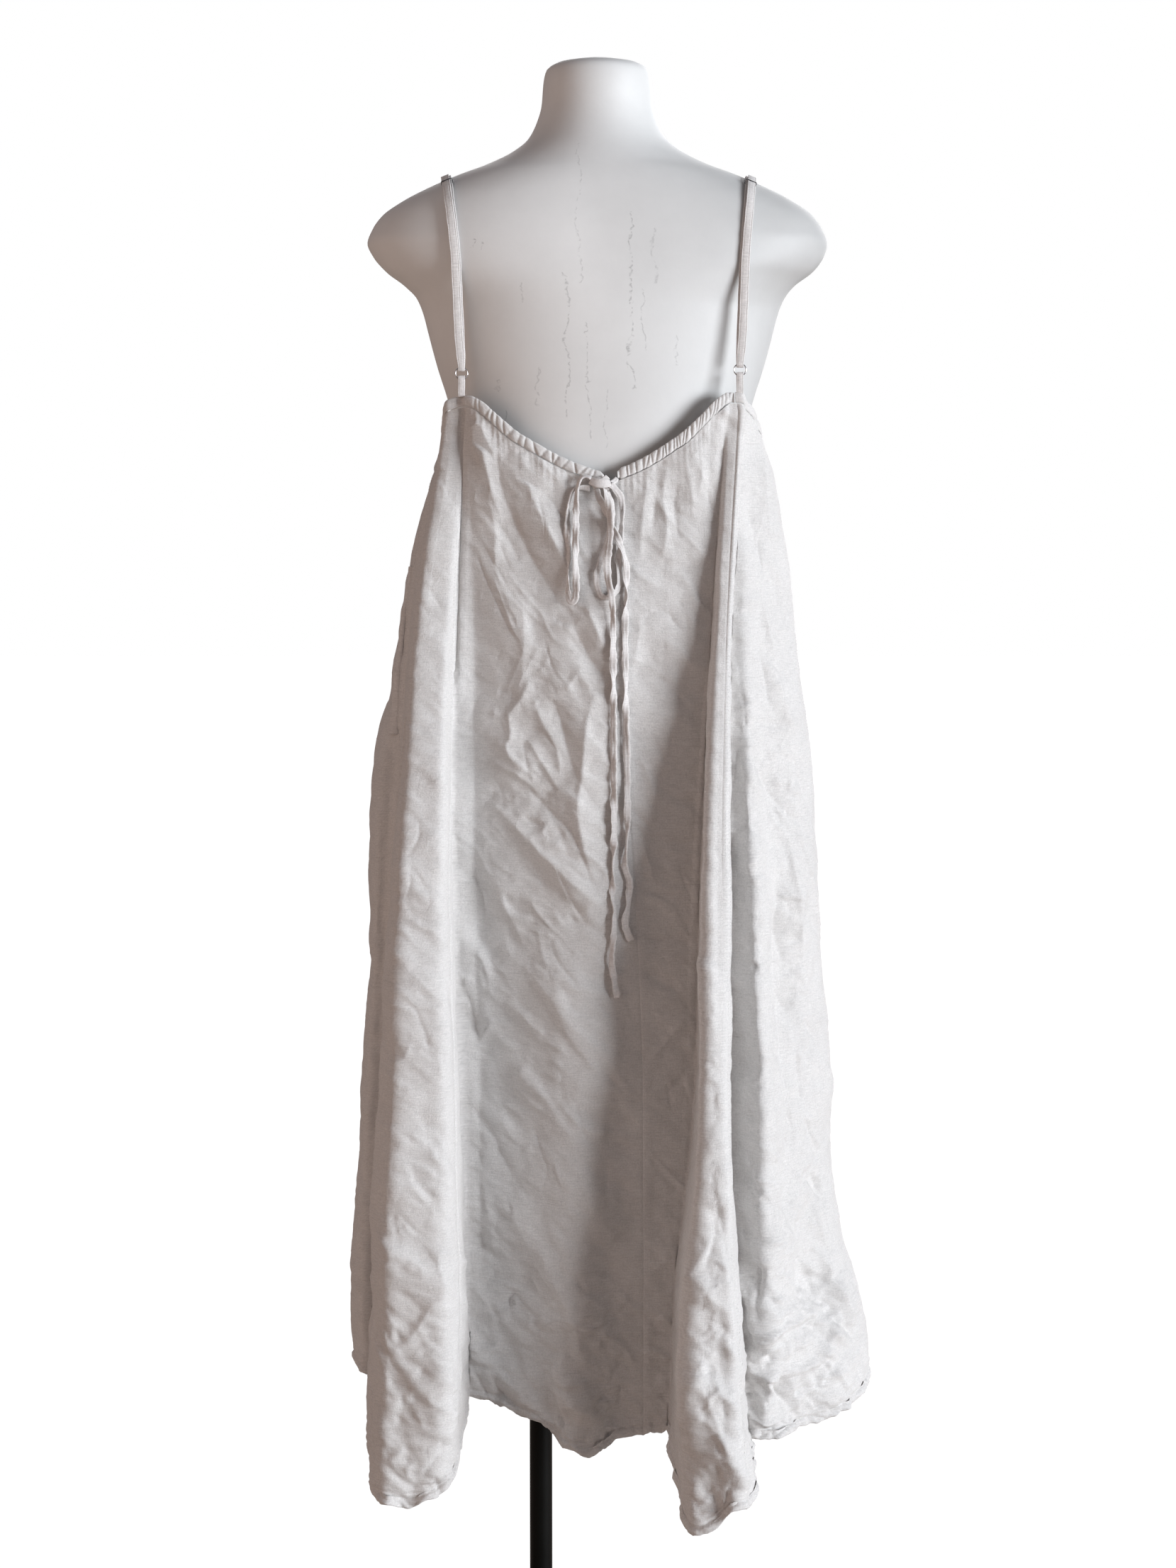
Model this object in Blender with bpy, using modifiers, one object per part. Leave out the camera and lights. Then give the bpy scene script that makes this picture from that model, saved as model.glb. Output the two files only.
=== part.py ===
"""Linen sundress worn by a limbless dress form on a pole stand.

Metres, +Z up. The origin is the middle of the stand's base plate, on the floor.
The dress's back faces -Y, its right side as seen from there is +X.
"""

from collections import namedtuple
from math import pi

import bpy
import numpy as np
from mathutils import Matrix

# Stand
BASE_RADIUS = 0.165
BASE_HEIGHT = 0.009
POLE_RADIUS = 0.011
POLE_FOOT = 0.0093
FORM_X = 0.056  # the form's middle stands this far beside its pole
FORM_BOTTOM = 0.842
FLANGE_RADIUS = 0.042
FLANGE_HEIGHT = 0.030
SEAT_GAP = 0.0003

# Cloth
WALL = 0.0016
SEAM_GAP = 0.0003
ROWS = 17
CASING_HEIGHT = 0.0100
CASING_GAP = 0.0003
COLUMNS_PER_GATHER = 3

# Straps
STRAP_WIDTH = 0.0080
STRAP_LOOP_WIDTH = 0.0062  # where it turns round the ring
STRAP_THICKNESS = 0.0013
STRAP_LIFT = 0.0013
RING_RADIUS = 0.0055  # to the middle of its wire
RING_WIRE = 0.0006
RING_RISE = 0.0203  # the ring's middle over the casing's corner
RING_LAYER = 0.0018  # from the wire's middle to the middle of each layer of cloth
SLIDER_OPENING = (0.0098, 0.0040)
SLIDER_BAR = 0.0007

# Drawstring
TIE_WIDTH = 0.0050
TIE_LIFT = 0.0009
TIE_LAYER = 0.0056
CORD_INSIDE = 0.0032
KNOT_SIZE = (0.0170, 0.0100, 0.0110)
KNOT_PLACE = (0.0012, 1.1560)
KNOT_LIFT = 0.0062  # from the cloth to the knot's middle

# The dress form: middle, half width, depth behind and in front, and roundness (2 is an ellipse) at each height
FormSection = namedtuple("FormSection", "height middle half_width back front roundness")
FORM_SECTIONS = (
    FormSection(0.842, 0.0020, 0.1560, 0.1040, 0.0960, 2.2),
    FormSection(0.850, 0.0020, 0.1640, 0.1100, 0.1030, 2.2),
    FormSection(0.880, 0.0020, 0.1675, 0.1130, 0.1060, 2.2),
    FormSection(0.930, 0.0020, 0.1665, 0.1130, 0.1070, 2.2),
    FormSection(0.980, 0.0020, 0.1580, 0.1080, 0.1050, 2.2),
    FormSection(1.030, 0.0020, 0.1430, 0.0980, 0.1020, 2.2),
    FormSection(1.080, 0.0020, 0.1290, 0.0900, 0.1000, 2.2),
    FormSection(1.120, 0.0020, 0.1240, 0.0880, 0.1030, 2.2),
    FormSection(1.160, 0.0020, 0.1280, 0.0910, 0.1140, 2.2),
    FormSection(1.200, 0.0020, 0.1360, 0.0960, 0.1240, 2.2),
    FormSection(1.235, 0.0020, 0.1445, 0.1000, 0.1270, 2.2),
    FormSection(1.265, 0.0020, 0.1540, 0.1030, 0.1230, 2.2),
    FormSection(1.295, 0.0020, 0.1620, 0.1050, 0.1150, 2.2),
    FormSection(1.316, 0.0020, 0.1675, 0.1060, 0.1080, 2.2),
    FormSection(1.330, 0.0020, 0.1735, 0.1060, 0.1035, 2.3),
    FormSection(1.342, 0.0010, 0.1842, 0.1055, 0.1000, 2.4),
    FormSection(1.355, 0.0010, 0.2015, 0.1045, 0.0960, 2.4),
    FormSection(1.368, 0.0000, 0.2118, 0.1030, 0.0920, 2.4),
    FormSection(1.380, -0.0010, 0.2162, 0.1015, 0.0880, 2.4),
    FormSection(1.393, -0.0010, 0.2115, 0.0990, 0.0840, 2.4),
    FormSection(1.406, -0.0010, 0.2015, 0.0955, 0.0790, 2.4),
    FormSection(1.418, -0.0010, 0.1840, 0.0915, 0.0740, 2.4),
    FormSection(1.430, -0.0010, 0.1610, 0.0870, 0.0690, 2.3),
    FormSection(1.442, -0.0010, 0.1335, 0.0810, 0.0645, 2.2),
    FormSection(1.453, -0.0010, 0.1045, 0.0750, 0.0610, 2.0),
    FormSection(1.464, -0.0010, 0.0815, 0.0690, 0.0580, 2.0),
    FormSection(1.476, -0.0010, 0.0660, 0.0630, 0.0560, 2.0),
    FormSection(1.490, -0.0010, 0.0580, 0.0570, 0.0540, 2.0),
    FormSection(1.508, -0.0010, 0.0525, 0.0530, 0.0525, 2.0),
    FormSection(1.530, -0.0010, 0.0505, 0.0510, 0.0510, 2.0),
    FormSection(1.540, -0.0010, 0.0480, 0.0485, 0.0485, 2.0),
    FormSection(1.546, -0.0010, 0.0400, 0.0400, 0.0400, 2.0),
    FormSection(1.5490, -0.0010, 0.0260, 0.0260, 0.0260, 2.0),
)
FORM_COLUMNS = 26

# The dress without its folds: reach to each side, behind and in front at each height
DressSection = namedtuple("DressSection", "height left right back front back_roundness front_roundness")
DRESS_SECTIONS = (
    DressSection(0.190, 0.2250, 0.2600, 0.1390, 0.1800, 2.2, 2.2),
    DressSection(0.260, 0.2300, 0.2620, 0.1380, 0.1780, 2.2, 2.2),
    DressSection(0.320, 0.2400, 0.2636, 0.1370, 0.1750, 2.2, 2.2),
    DressSection(0.370, 0.2430, 0.2560, 0.1350, 0.1720, 2.2, 2.2),
    DressSection(0.430, 0.2390, 0.2380, 0.1330, 0.1680, 2.2, 2.2),
    DressSection(0.500, 0.2335, 0.2270, 0.1310, 0.1650, 2.2, 2.2),
    DressSection(0.600, 0.2270, 0.2230, 0.1280, 0.1590, 2.2, 2.2),
    DressSection(0.700, 0.2205, 0.2150, 0.1240, 0.1530, 2.2, 2.2),
    DressSection(0.800, 0.2195, 0.2085, 0.1210, 0.1470, 2.3, 2.2),
    DressSection(0.900, 0.2110, 0.2030, 0.1200, 0.1410, 2.4, 2.3),
    DressSection(0.980, 0.1965, 0.1925, 0.1180, 0.1380, 2.5, 2.3),
    DressSection(1.040, 0.1860, 0.1845, 0.1130, 0.1370, 2.6, 2.4),
    DressSection(1.100, 0.1740, 0.1765, 0.1080, 0.1370, 2.8, 2.4),
    DressSection(1.160, 0.1575, 0.1665, 0.1030, 0.1370, 3.2, 2.4),
    DressSection(1.200, 0.1460, 0.1530, 0.1040, 0.1370, 3.6, 2.4),
    DressSection(1.240, 0.1445, 0.1455, 0.1070, 0.1360, 4.0, 2.4),
    DressSection(1.290, 0.1670, 0.1700, 0.1110, 0.1280, 4.0, 2.4),
    DressSection(1.340, 0.1950, 0.1980, 0.1120, 0.1120, 4.0, 2.4),
)

# Each fold at the FOLD_HEIGHTS: where its crest lies, half its width, how far it stands out
FOLD_HEIGHTS = (1.22, 1.00, 0.80, 0.60, 0.40, 0.24)
Fold = namedtuple("Fold", "name side shape x half_width depth hem_dip")
FOLDS = (
    Fold(
        "left_flute",
        "back",
        "flute",
        x=(-0.1320, -0.1542, -0.1610, -0.1625, -0.1670, -0.1700),
        half_width=(0.0100, 0.0214, 0.0265, 0.0350, 0.0430, 0.0455),
        depth=(0.003, 0.034, 0.072, 0.098, 0.113, 0.120),
        hem_dip=0.056,
    ),
    Fold(
        "right_flute",
        "back",
        "flute",
        x=(0.1255, 0.1117, 0.1056, 0.1030, 0.1000, 0.1035),
        half_width=(0.0080, 0.0082, 0.0110, 0.0132, 0.0280, 0.0365),
        depth=(0.003, 0.030, 0.066, 0.095, 0.122, 0.142),
        hem_dip=0.044,
    ),
    Fold(
        "right_ridge",
        "back",
        "swell",
        x=(0.132, 0.136, 0.142, 0.152, 0.157, 0.165),
        half_width=(0.012, 0.014, 0.018, 0.024, 0.032, 0.036),
        depth=(0.000, 0.008, 0.027, 0.038, 0.034, 0.024),
        hem_dip=0.000,
    ),
    Fold(
        "middle_swell",
        "back",
        "swell",
        x=(0.000, -0.010, -0.016, -0.026, -0.022, -0.012),
        half_width=(0.050, 0.050, 0.046, 0.042, 0.038, 0.034),
        depth=(0.000, 0.004, 0.010, 0.014, 0.018, 0.024),
        hem_dip=0.022,
    ),
    Fold(
        "left_side_valley",
        "back",
        "swell",
        x=(-0.148, -0.180, -0.198, -0.206, -0.212, -0.210),
        half_width=(0.012, 0.016, 0.016, 0.018, 0.018, 0.018),
        depth=(0.000, -0.006, -0.014, -0.018, -0.018, -0.016),
        hem_dip=0.000,
    ),
    Fold(
        "front_left_flute",
        "front",
        "flute",
        x=(-0.105, -0.112, -0.120, -0.128, -0.134, -0.138),
        half_width=(0.012, 0.016, 0.021, 0.027, 0.034, 0.038),
        depth=(0.000, 0.010, 0.034, 0.056, 0.074, 0.080),
        hem_dip=0.030,
    ),
    Fold(
        "front_middle_flute",
        "front",
        "flute",
        x=(0.010, 0.008, 0.004, -0.002, -0.006, -0.008),
        half_width=(0.014, 0.018, 0.024, 0.029, 0.034, 0.038),
        depth=(0.000, 0.004, 0.020, 0.038, 0.054, 0.060),
        hem_dip=0.022,
    ),
    Fold(
        "front_right_flute",
        "front",
        "flute",
        x=(0.110, 0.118, 0.126, 0.134, 0.141, 0.146),
        half_width=(0.012, 0.015, 0.019, 0.024, 0.032, 0.037),
        depth=(0.000, 0.012, 0.038, 0.062, 0.080, 0.088),
        hem_dip=0.032,
    ),
)

# Seams at the FOLD_HEIGHTS, as distances from the form's middle; the half says which side of the dress they run on
Seam = namedtuple("Seam", "name half x")
SEAMS = (
    Seam("centre_back", "right", (0.0040, 0.0145, 0.0320, 0.0405, 0.0415, 0.0415)),
    Seam("right_princess", "right", (0.1275, 0.1150, 0.1100, 0.1125, 0.1210, 0.1300)),
    Seam("right_side", "right", (0.3000, 0.3000, 0.3000, 0.3000, 0.3000, 0.3000)),
    Seam("left_side", "left", (-0.1450, -0.1830, -0.1905, -0.2040, -0.2160, -0.2215)),
    Seam("left_princess", "left", (-0.1227, -0.1310, -0.1365, -0.1310, -0.1275, -0.1270)),
)

# Panels in their order round the dress, each from one seam to the next
Panel = namedtuple("Panel", "name columns")
PANELS = (
    Panel("back_right", 17),
    Panel("side_back_right", 20),
    Panel("front", 30),
    Panel("side_back_left", 22),
    Panel("back_left", 17),
)

# Top edge and hem; a place is 0 at the centre back seam and goes up by 1 at each seam in SEAMS' order
Edge = namedtuple("Edge", "place height")
TOP_EDGE = (
    Edge(0.00, 1.1640),
    Edge(0.25, 1.1765),
    Edge(0.55, 1.1990),
    Edge(0.96, 1.2380),
    Edge(1.02, 1.2380),
    Edge(1.30, 1.2280),
    Edge(1.65, 1.2100),
    Edge(2.00, 1.2070),
    Edge(2.12, 1.2230),
    Edge(2.24, 1.2720),
    Edge(2.27, 1.2780),
    Edge(2.34, 1.2620),
    Edge(2.50, 1.2400),
    Edge(2.66, 1.2620),
    Edge(2.73, 1.2780),
    Edge(2.76, 1.2720),
    Edge(2.88, 1.2230),
    Edge(3.00, 1.2070),
    Edge(3.35, 1.2100),
    Edge(3.70, 1.2270),
    Edge(3.98, 1.2350),
    Edge(4.04, 1.2350),
    Edge(4.45, 1.1990),
    Edge(4.75, 1.1765),
    Edge(5.00, 1.1640),
)
HEM = (
    Edge(0.00, 0.2760),
    Edge(0.25, 0.2850),
    Edge(0.60, 0.2790),
    Edge(0.75, 0.2720),
    Edge(0.86, 0.2840),
    Edge(1.00, 0.3160),
    Edge(1.12, 0.3000),
    Edge(1.30, 0.2760),
    Edge(1.60, 0.2730),
    Edge(1.80, 0.2820),
    Edge(2.00, 0.2900),
    Edge(2.20, 0.2860),
    Edge(2.50, 0.2780),
    Edge(2.80, 0.2860),
    Edge(2.94, 0.3120),
    Edge(3.05, 0.3000),
    Edge(3.50, 0.2960),
    Edge(4.00, 0.3110),
    Edge(4.25, 0.3070),
    Edge(4.50, 0.2930),
    Edge(4.75, 0.2860),
    Edge(5.00, 0.2760),
)

# The gathered casing along the top edge
Casing = namedtuple("Casing", "name start end gathers")
CASINGS = (
    Casing("casing_back_right", 0.085, 0.985, 26),
    Casing("casing_side_right", 0.992, 2.2333, 13),
    Casing("casing_front", 2.2385, 2.7615, 20),
    Casing("casing_side_left", 2.7667, 4.008, 13),
    Casing("casing_back_left", 4.015, 4.985, 21),
)

# Pocket in the left side seam
POCKET_TOP = 1.080
POCKET_BOTTOM = 0.920
POCKET_DEPTH = 0.235
POCKET_REACH = 0.42  # how far the bag reaches into the front, in places
POCKET_PLACE = 2.990  # where the bag hangs from the seam
POCKET_THICKNESS = 0.0020
MOUTH_PLACES = (2.980, 2.9935)
MOUTH_LIFT = 0.0008
MOUTH_THICKNESS = 0.0022

# Straps, from the front over the shoulder to the back
Strap = namedtuple("Strap", "side sign front_place back_place top_x ring_x")
STRAPS = (
    Strap("left", -1, 2.73, 4.00, 0.1412, 0.1257),
    Strap("right", 1, 2.27, 1.00, 0.1405, 0.1290),
)
STRAP_SPREAD = 0.0014  # the return layer shows this far beside the other
STRAP_PIVOT = 1.29  # height inside the form that the strap's line turns about
STRAP_TOP = -0.036  # the return layer ends this far behind the form's middle
STRAP_LAYERS = 0.0007  # between the strap's two layers
STRAP_CLOSING = 0.150  # over this height above the ring the layers come together

# The bow and its long ties: distance from the form's middle, height and layer over the cloth
TIES = {
    "tie_a": (
        (0.0052, 1.1495, 1.2),
        (0.0090, 1.1360, 2.0),
        (0.0103, 1.1180, 2.0),
        (0.0097, 1.1001, 1.6),
        (0.0078, 1.0867, 1.2),
        (0.0078, 1.0739, 1.0),
        (0.0098, 1.0623, 1.0),
        (0.0117, 1.0510, 1.0),
        (0.0130, 1.0360, 0.6),
        (0.0130, 1.0018, 0.0),
        (0.0137, 0.9179, 0.0),
        (0.0138, 0.8338, 0.0),
        (0.0125, 0.7800, 0.0),
        (0.0144, 0.7650, 0.0),
        (0.0132, 0.7371, 0.0),
        (0.0119, 0.7195, 0.0),
        (0.0145, 0.7006, 0.0),
        (0.0171, 0.6850, 0.0),
    ),
    "tie_b": (
        (-0.0022, 1.1497, 0.0),
        (0.0003, 1.1420, 0.4),
        (0.0040, 1.1350, 1.0),
        (0.0078, 1.1257, 1.0),
        (0.0136, 1.1155, 1.0),
        (0.0181, 1.1020, 1.0),
        (0.0226, 1.0912, 1.0),
        (0.0252, 1.0783, 0.6),
        (0.0250, 1.0597, 0.1),
        (0.0240, 1.0275, 0.0),
        (0.0247, 0.9502, 0.0),
        (0.0260, 0.8856, 0.0),
        (0.0261, 0.8338, 0.0),
        (0.0235, 0.8072, 0.0),
        (0.0280, 0.7930, 0.0),
        (0.0268, 0.7689, 0.0),
        (0.0240, 0.7527, 0.0),
        (0.0300, 0.7371, 0.0),
    ),
    "loop_left": (
        (-0.0070, 1.1590, 0.6),
        (-0.0108, 1.1612, 0.6),
        (-0.0168, 1.1590, 0.6),
        (-0.0203, 1.1450, 0.6),
        (-0.0208, 1.1136, 0.7),
        (-0.0212, 1.0873, 0.7),
        (-0.0208, 1.0738, 0.6),
        (-0.0205, 1.0570, 0.5),
        (-0.0217, 1.0495, 0.35),
        (-0.0245, 1.0465, 0.2),
        (-0.0273, 1.0500, 0.1),
        (-0.0282, 1.0570, 0.0),
        (-0.0280, 1.0731, 0.0),
        (-0.0274, 1.0900, 0.0),
        (-0.0285, 1.1110, 0.0),
        (-0.0280, 1.1302, 0.0),
        (-0.0245, 1.1460, 0.0),
        (-0.0165, 1.1510, 0.0),
        (-0.0080, 1.1505, 0.0),
    ),
    "loop_right": (
        (0.0105, 1.1540, 0.4),
        (0.0148, 1.1500, 0.2),
        (0.0201, 1.1418, 0.0),
        (0.0214, 1.1309, 0.0),
        (0.0207, 1.1174, 0.0),
        (0.0194, 1.0988, 0.0),
        (0.0182, 1.0873, 0.0),
        (0.0188, 1.0738, 0.0),
        (0.0182, 1.0622, 0.0),
        (0.0124, 1.0532, 0.0),
        (0.0034, 1.0519, 0.0),
        (-0.0012, 1.0609, 0.0),
        (-0.0018, 1.0712, 0.0),
        (0.0014, 1.0828, 0.0),
        (0.0053, 1.0930, 0.0),
        (0.0105, 1.1110, 0.0),
        (0.0118, 1.1334, 0.0),
        (0.0075, 1.1475, 0.0),
    ),
}


def smooth_curve(knots, values, at):
    """A curve through the values with no overshoot between them."""
    knots = np.asarray(knots, float)
    values = np.asarray(values, float)
    if knots[0] > knots[-1]:
        knots = knots[::-1]
        values = values[::-1]
    step = np.diff(knots)
    slope = np.diff(values) / step
    tangent = np.zeros_like(values)
    tangent[0] = slope[0]
    tangent[-1] = slope[-1]
    for i in range(1, len(knots) - 1):
        if slope[i - 1] * slope[i] > 0:
            before = 2 * step[i] + step[i - 1]
            after = step[i] + 2 * step[i - 1]
            tangent[i] = (before + after) / (before / slope[i - 1] + after / slope[i])
    at = np.clip(at, knots[0], knots[-1])
    i = np.clip(np.searchsorted(knots, at) - 1, 0, len(step) - 1)
    t = (at - knots[i]) / step[i]
    start = values[i] * (1 + 2 * t) * (1 - t) ** 2 + tangent[i] * step[i] * t * (1 - t) ** 2
    end = values[i + 1] * t * t * (3 - 2 * t) + tangent[i + 1] * step[i] * t * t * (t - 1)
    return start + end


def smooth_step(low, high, at):
    t = np.clip((at - low) / (high - low), 0, 1)
    return t * t * (3 - 2 * t)


def column_of(table, field, at):
    """One column of a table of sections, read at other heights or places."""
    return smooth_curve([row[0] for row in table], [getattr(row, field) for row in table], at)


# Dress form surface
def form_ratio(point):
    """Under 1 inside the dress form, 1 on its surface."""
    x, y, z = point
    if z < FORM_SECTIONS[0].height or z > FORM_SECTIONS[-1].height:
        return 9.0
    width = column_of(FORM_SECTIONS, "half_width", z)
    depth = column_of(FORM_SECTIONS, "back" if y < 0 else "front", z)
    middle = column_of(FORM_SECTIONS, "middle", z)
    power = column_of(FORM_SECTIONS, "roundness", z)
    return (abs(x - middle) / width) ** power + (abs(y) / depth) ** power


def form_normal(point):
    """The way out of the form's surface near a point."""
    small = 0.0015
    slope = np.array(
        [
            form_ratio(point + small * axis) - form_ratio(point - small * axis)
            for axis in np.eye(3)
        ]
    )
    return slope / np.linalg.norm(slope)


def form_skin(start, direction):
    """The point where a line from inside the form leaves it."""
    near = 0.0
    far = 0.40
    for _ in range(40):
        middle = (near + far) / 2
        if form_ratio(start + middle * direction) < 1:
            near = middle
        else:
            far = middle
    return start + near * direction


# Dress surface
GRID_HEIGHTS = np.arange(0.190, 1.335, 0.0075)
GRID_COLUMNS = 72  # of the fine grid, for each panel
RING_POINTS = 1440


def fold_bump(shape, across):
    """Height of a fold's section, 1 at its crest, at a distance in half widths."""
    if shape == "flute":
        arch = (1 - np.clip(np.abs(across) / 1.06, 0, 1) ** 3) ** 0.45
        return arch * arch * (3 - 2 * arch)
    return np.exp(-1.4 * across**2)


def dress_ring(height):
    """One level section: its points, their distance round it, and where each seam lies on it."""
    turn = np.linspace(0, 2 * pi, RING_POINTS, endpoint=False)
    reach_x = np.where(
        turn < pi,
        column_of(DRESS_SECTIONS, "right", height),
        column_of(DRESS_SECTIONS, "left", height),
    )
    behind = np.cos(turn) > 0
    reach_y = np.where(
        behind,
        column_of(DRESS_SECTIONS, "back", height),
        column_of(DRESS_SECTIONS, "front", height),
    )
    power = np.where(
        behind,
        column_of(DRESS_SECTIONS, "back_roundness", height),
        column_of(DRESS_SECTIONS, "front_roundness", height),
    )
    out = np.abs(np.sin(turn) / reach_x) ** power + np.abs(np.cos(turn) / reach_y) ** power
    x = np.sin(turn) * out ** (-1 / power)
    y = -np.cos(turn) * out ** (-1 / power)
    plain = np.concatenate([[0], np.cumsum(np.hypot(np.diff(x), np.diff(y)))])
    girth = plain[-1] + np.hypot(x[0] - x[-1], y[0] - y[-1])

    quarter = RING_POINTS // 4
    back_right = slice(0, quarter + 1)
    front = slice(quarter, 3 * quarter + 1)
    back_left = slice(3 * quarter, RING_POINTS)

    def distance_to(wanted, half):
        if half == "front":
            return np.interp(-wanted, -x[front], plain[front])
        if wanted >= 0:
            return np.interp(wanted, x[back_right], plain[back_right])
        return np.interp(wanted, x[back_left], plain[back_left])

    dip = np.zeros(RING_POINTS)
    pushed = y.copy()
    for fold in FOLDS:
        middle = smooth_curve(FOLD_HEIGHTS, fold.x, height)
        crest = distance_to(middle, fold.side)
        half_width = smooth_curve(FOLD_HEIGHTS, fold.half_width, height)
        reach = smooth_curve(FOLD_HEIGHTS, fold.depth, height) * (-1 if fold.side == "back" else 1)
        if fold.shape == "flute":
            bump = fold_bump(fold.shape, (x - middle) / half_width)
            bump[behind != (fold.side == "back")] = 0
            pushed += (np.interp(crest, plain, y) + reach - pushed) * bump
        else:
            apart = (plain - crest + girth / 2) % girth - girth / 2
            bump = fold_bump(fold.shape, apart / half_width)
            pushed += reach * bump
        dip += fold.hem_dip * bump

    seams = []
    for seam in SEAMS:
        wanted = smooth_curve(FOLD_HEIGHTS, seam.x, height)
        if height > FOLD_HEIGHTS[0]:
            reach = column_of(DRESS_SECTIONS, seam.half, [height, FOLD_HEIGHTS[0]])
            wanted *= reach[0] / reach[1]
        if seam.half == "right":
            wanted = min(wanted, x[quarter])
        else:
            wanted = max(wanted, x[3 * quarter])
        seams.append(distance_to(wanted, "back"))
    return x, pushed, plain, girth, dip, seams


def resample_ring(height):
    """Evenly spaced points along each panel at one height, from the centre back seam round to it again."""
    x, y, plain, girth, dip, seams = dress_ring(height)
    x = np.concatenate([x, x, x[:1]])
    y = np.concatenate([y, y, y[:1]])
    dip = np.concatenate([dip, dip, dip[:1]])
    plain = np.concatenate([plain, plain + girth, [2 * girth]])
    along = np.concatenate([[0], np.cumsum(np.hypot(np.diff(x), np.diff(y)))])
    marks = [np.interp(mark, plain, along) for mark in [*seams, seams[0] + girth]]
    places = []
    for start, end in zip(marks[:-1], marks[1:]):
        places.append(np.linspace(start, end, GRID_COLUMNS, endpoint=False))
    places = np.concatenate([*places, [marks[-1]]])
    return (
        np.interp(places, along, x),
        np.interp(places, along, y),
        np.interp(places, along, dip),
    )


LEVELS = [resample_ring(height) for height in GRID_HEIGHTS]
GRID_X = np.array([level[0] for level in LEVELS])
GRID_Y = np.array([level[1] for level in LEVELS])
HEM_DIP = LEVELS[int(np.argmin(abs(GRID_HEIGHTS - 0.26)))][2]


def dress_point(place, height):
    """The cloth's outer surface at a place round the dress and a height."""
    place = np.asarray(place, float) % len(PANELS)
    across = place * GRID_COLUMNS
    column = np.clip(np.floor(across).astype(int), 0, GRID_X.shape[1] - 2)
    level = (np.asarray(height, float) - GRID_HEIGHTS[0]) / (GRID_HEIGHTS[1] - GRID_HEIGHTS[0])
    row = np.clip(np.floor(level).astype(int), 0, len(GRID_HEIGHTS) - 2)
    u = across - column
    v = level - row
    found = []
    for grid in (GRID_X, GRID_Y):
        low = grid[row, column] * (1 - u) + grid[row, column + 1] * u
        high = grid[row + 1, column] * (1 - u) + grid[row + 1, column + 1] * u
        found.append(low * (1 - v) + high * v)
    return np.stack([found[0], found[1], np.broadcast_to(height, found[0].shape)], -1)


def dress_normal(place, height):
    """The way out of the cloth at a place and height."""
    place = np.asarray(place)
    height = np.asarray(height)
    around = dress_point(place + 0.02, height) - dress_point(place - 0.02, height)
    up = dress_point(place, height + 0.008) - dress_point(place, height - 0.008)
    normal = np.cross(around, up)
    return normal / np.linalg.norm(normal, axis=-1, keepdims=True)


def top_height(place):
    return column_of(TOP_EDGE, "height", np.asarray(place) % len(PANELS))


def casing_height(place):
    """The casing's height up the cloth, which grows where the edge runs steeply."""
    place = np.asarray(place, float)
    low = np.minimum(top_height(place - 0.01), top_height(place + 0.01)) - 0.005
    run = np.linalg.norm(
        dress_point(place + 0.01, low)[..., :2] - dress_point(place - 0.01, low)[..., :2], axis=-1
    )
    rise = top_height(place + 0.01) - top_height(place - 0.01)
    return CASING_HEIGHT * np.minimum(np.sqrt(1 + (rise / run) ** 2), 1.5)


def hem_height(place):
    place = np.asarray(place, float)
    dip = np.interp(place * GRID_COLUMNS, np.arange(len(HEM_DIP)), HEM_DIP)
    return column_of(HEM, "height", place) - dip


def back_depth(x, height):
    """How far behind the form's middle the cloth's outer face lies."""
    level = (height - GRID_HEIGHTS[0]) / (GRID_HEIGHTS[1] - GRID_HEIGHTS[0])
    row = int(level)
    right = slice(0, 2 * GRID_COLUMNS)
    left = slice(4 * GRID_COLUMNS, 5 * GRID_COLUMNS + 1)
    depths = []
    for i in (row, row + 1):
        xs = np.concatenate([GRID_X[i, left], GRID_X[i, right]])
        ys = np.concatenate([GRID_Y[i, left], GRID_Y[i, right]])
        order = np.argsort(xs)
        depths.append(np.interp(x, xs[order], ys[order]))
    return depths[0] * (row + 1 - level) + depths[1] * (level - row)


# Scene helpers
def clear_scene():
    for old in list(bpy.data.objects):
        bpy.data.objects.remove(old, do_unlink=True)


def new_collection(name):
    collection = bpy.data.collections.new(name)
    bpy.context.scene.collection.children.link(collection)
    return collection


def new_material(name, colour, roughness, metallic=0.0):
    material = bpy.data.materials.new(name)
    material.use_nodes = True
    shader = material.node_tree.nodes["Principled BSDF"]
    shader.inputs["Base Color"].default_value = (*colour, 1)
    shader.inputs["Roughness"].default_value = roughness
    shader.inputs["Metallic"].default_value = metallic
    return material


def add_object(name, data, colour, roughness, metallic=0.0, on_form=True):
    obj = bpy.data.objects.new(name, data)
    data.materials.append(new_material(name, colour, roughness, metallic))
    DRESS.objects.link(obj)
    if on_form:
        obj.parent = FORM_CENTRE
    return obj


def mesh_from(name, points, faces, smooth=True):
    mesh = bpy.data.meshes.new(name)
    mesh.from_pydata([tuple(point) for point in points], [], [tuple(face) for face in faces])
    mesh.update()
    if smooth:
        mesh.shade_smooth()
    return mesh


def lofted_mesh(name, sections):
    """A closed solid through sections with equal counts of points, capped at both ends."""
    count = len(sections[0])
    points = [point for section in sections for point in section]
    faces = []
    for i in range(len(sections) - 1):
        for j in range(count):
            k = (j + 1) % count
            faces.append((i * count + j, i * count + k, (i + 1) * count + k, (i + 1) * count + j))
    last = (len(sections) - 1) * count
    faces.append(tuple(range(count))[::-1])
    faces.append(tuple(range(last, last + count)))
    return mesh_from(name, points, faces)


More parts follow.
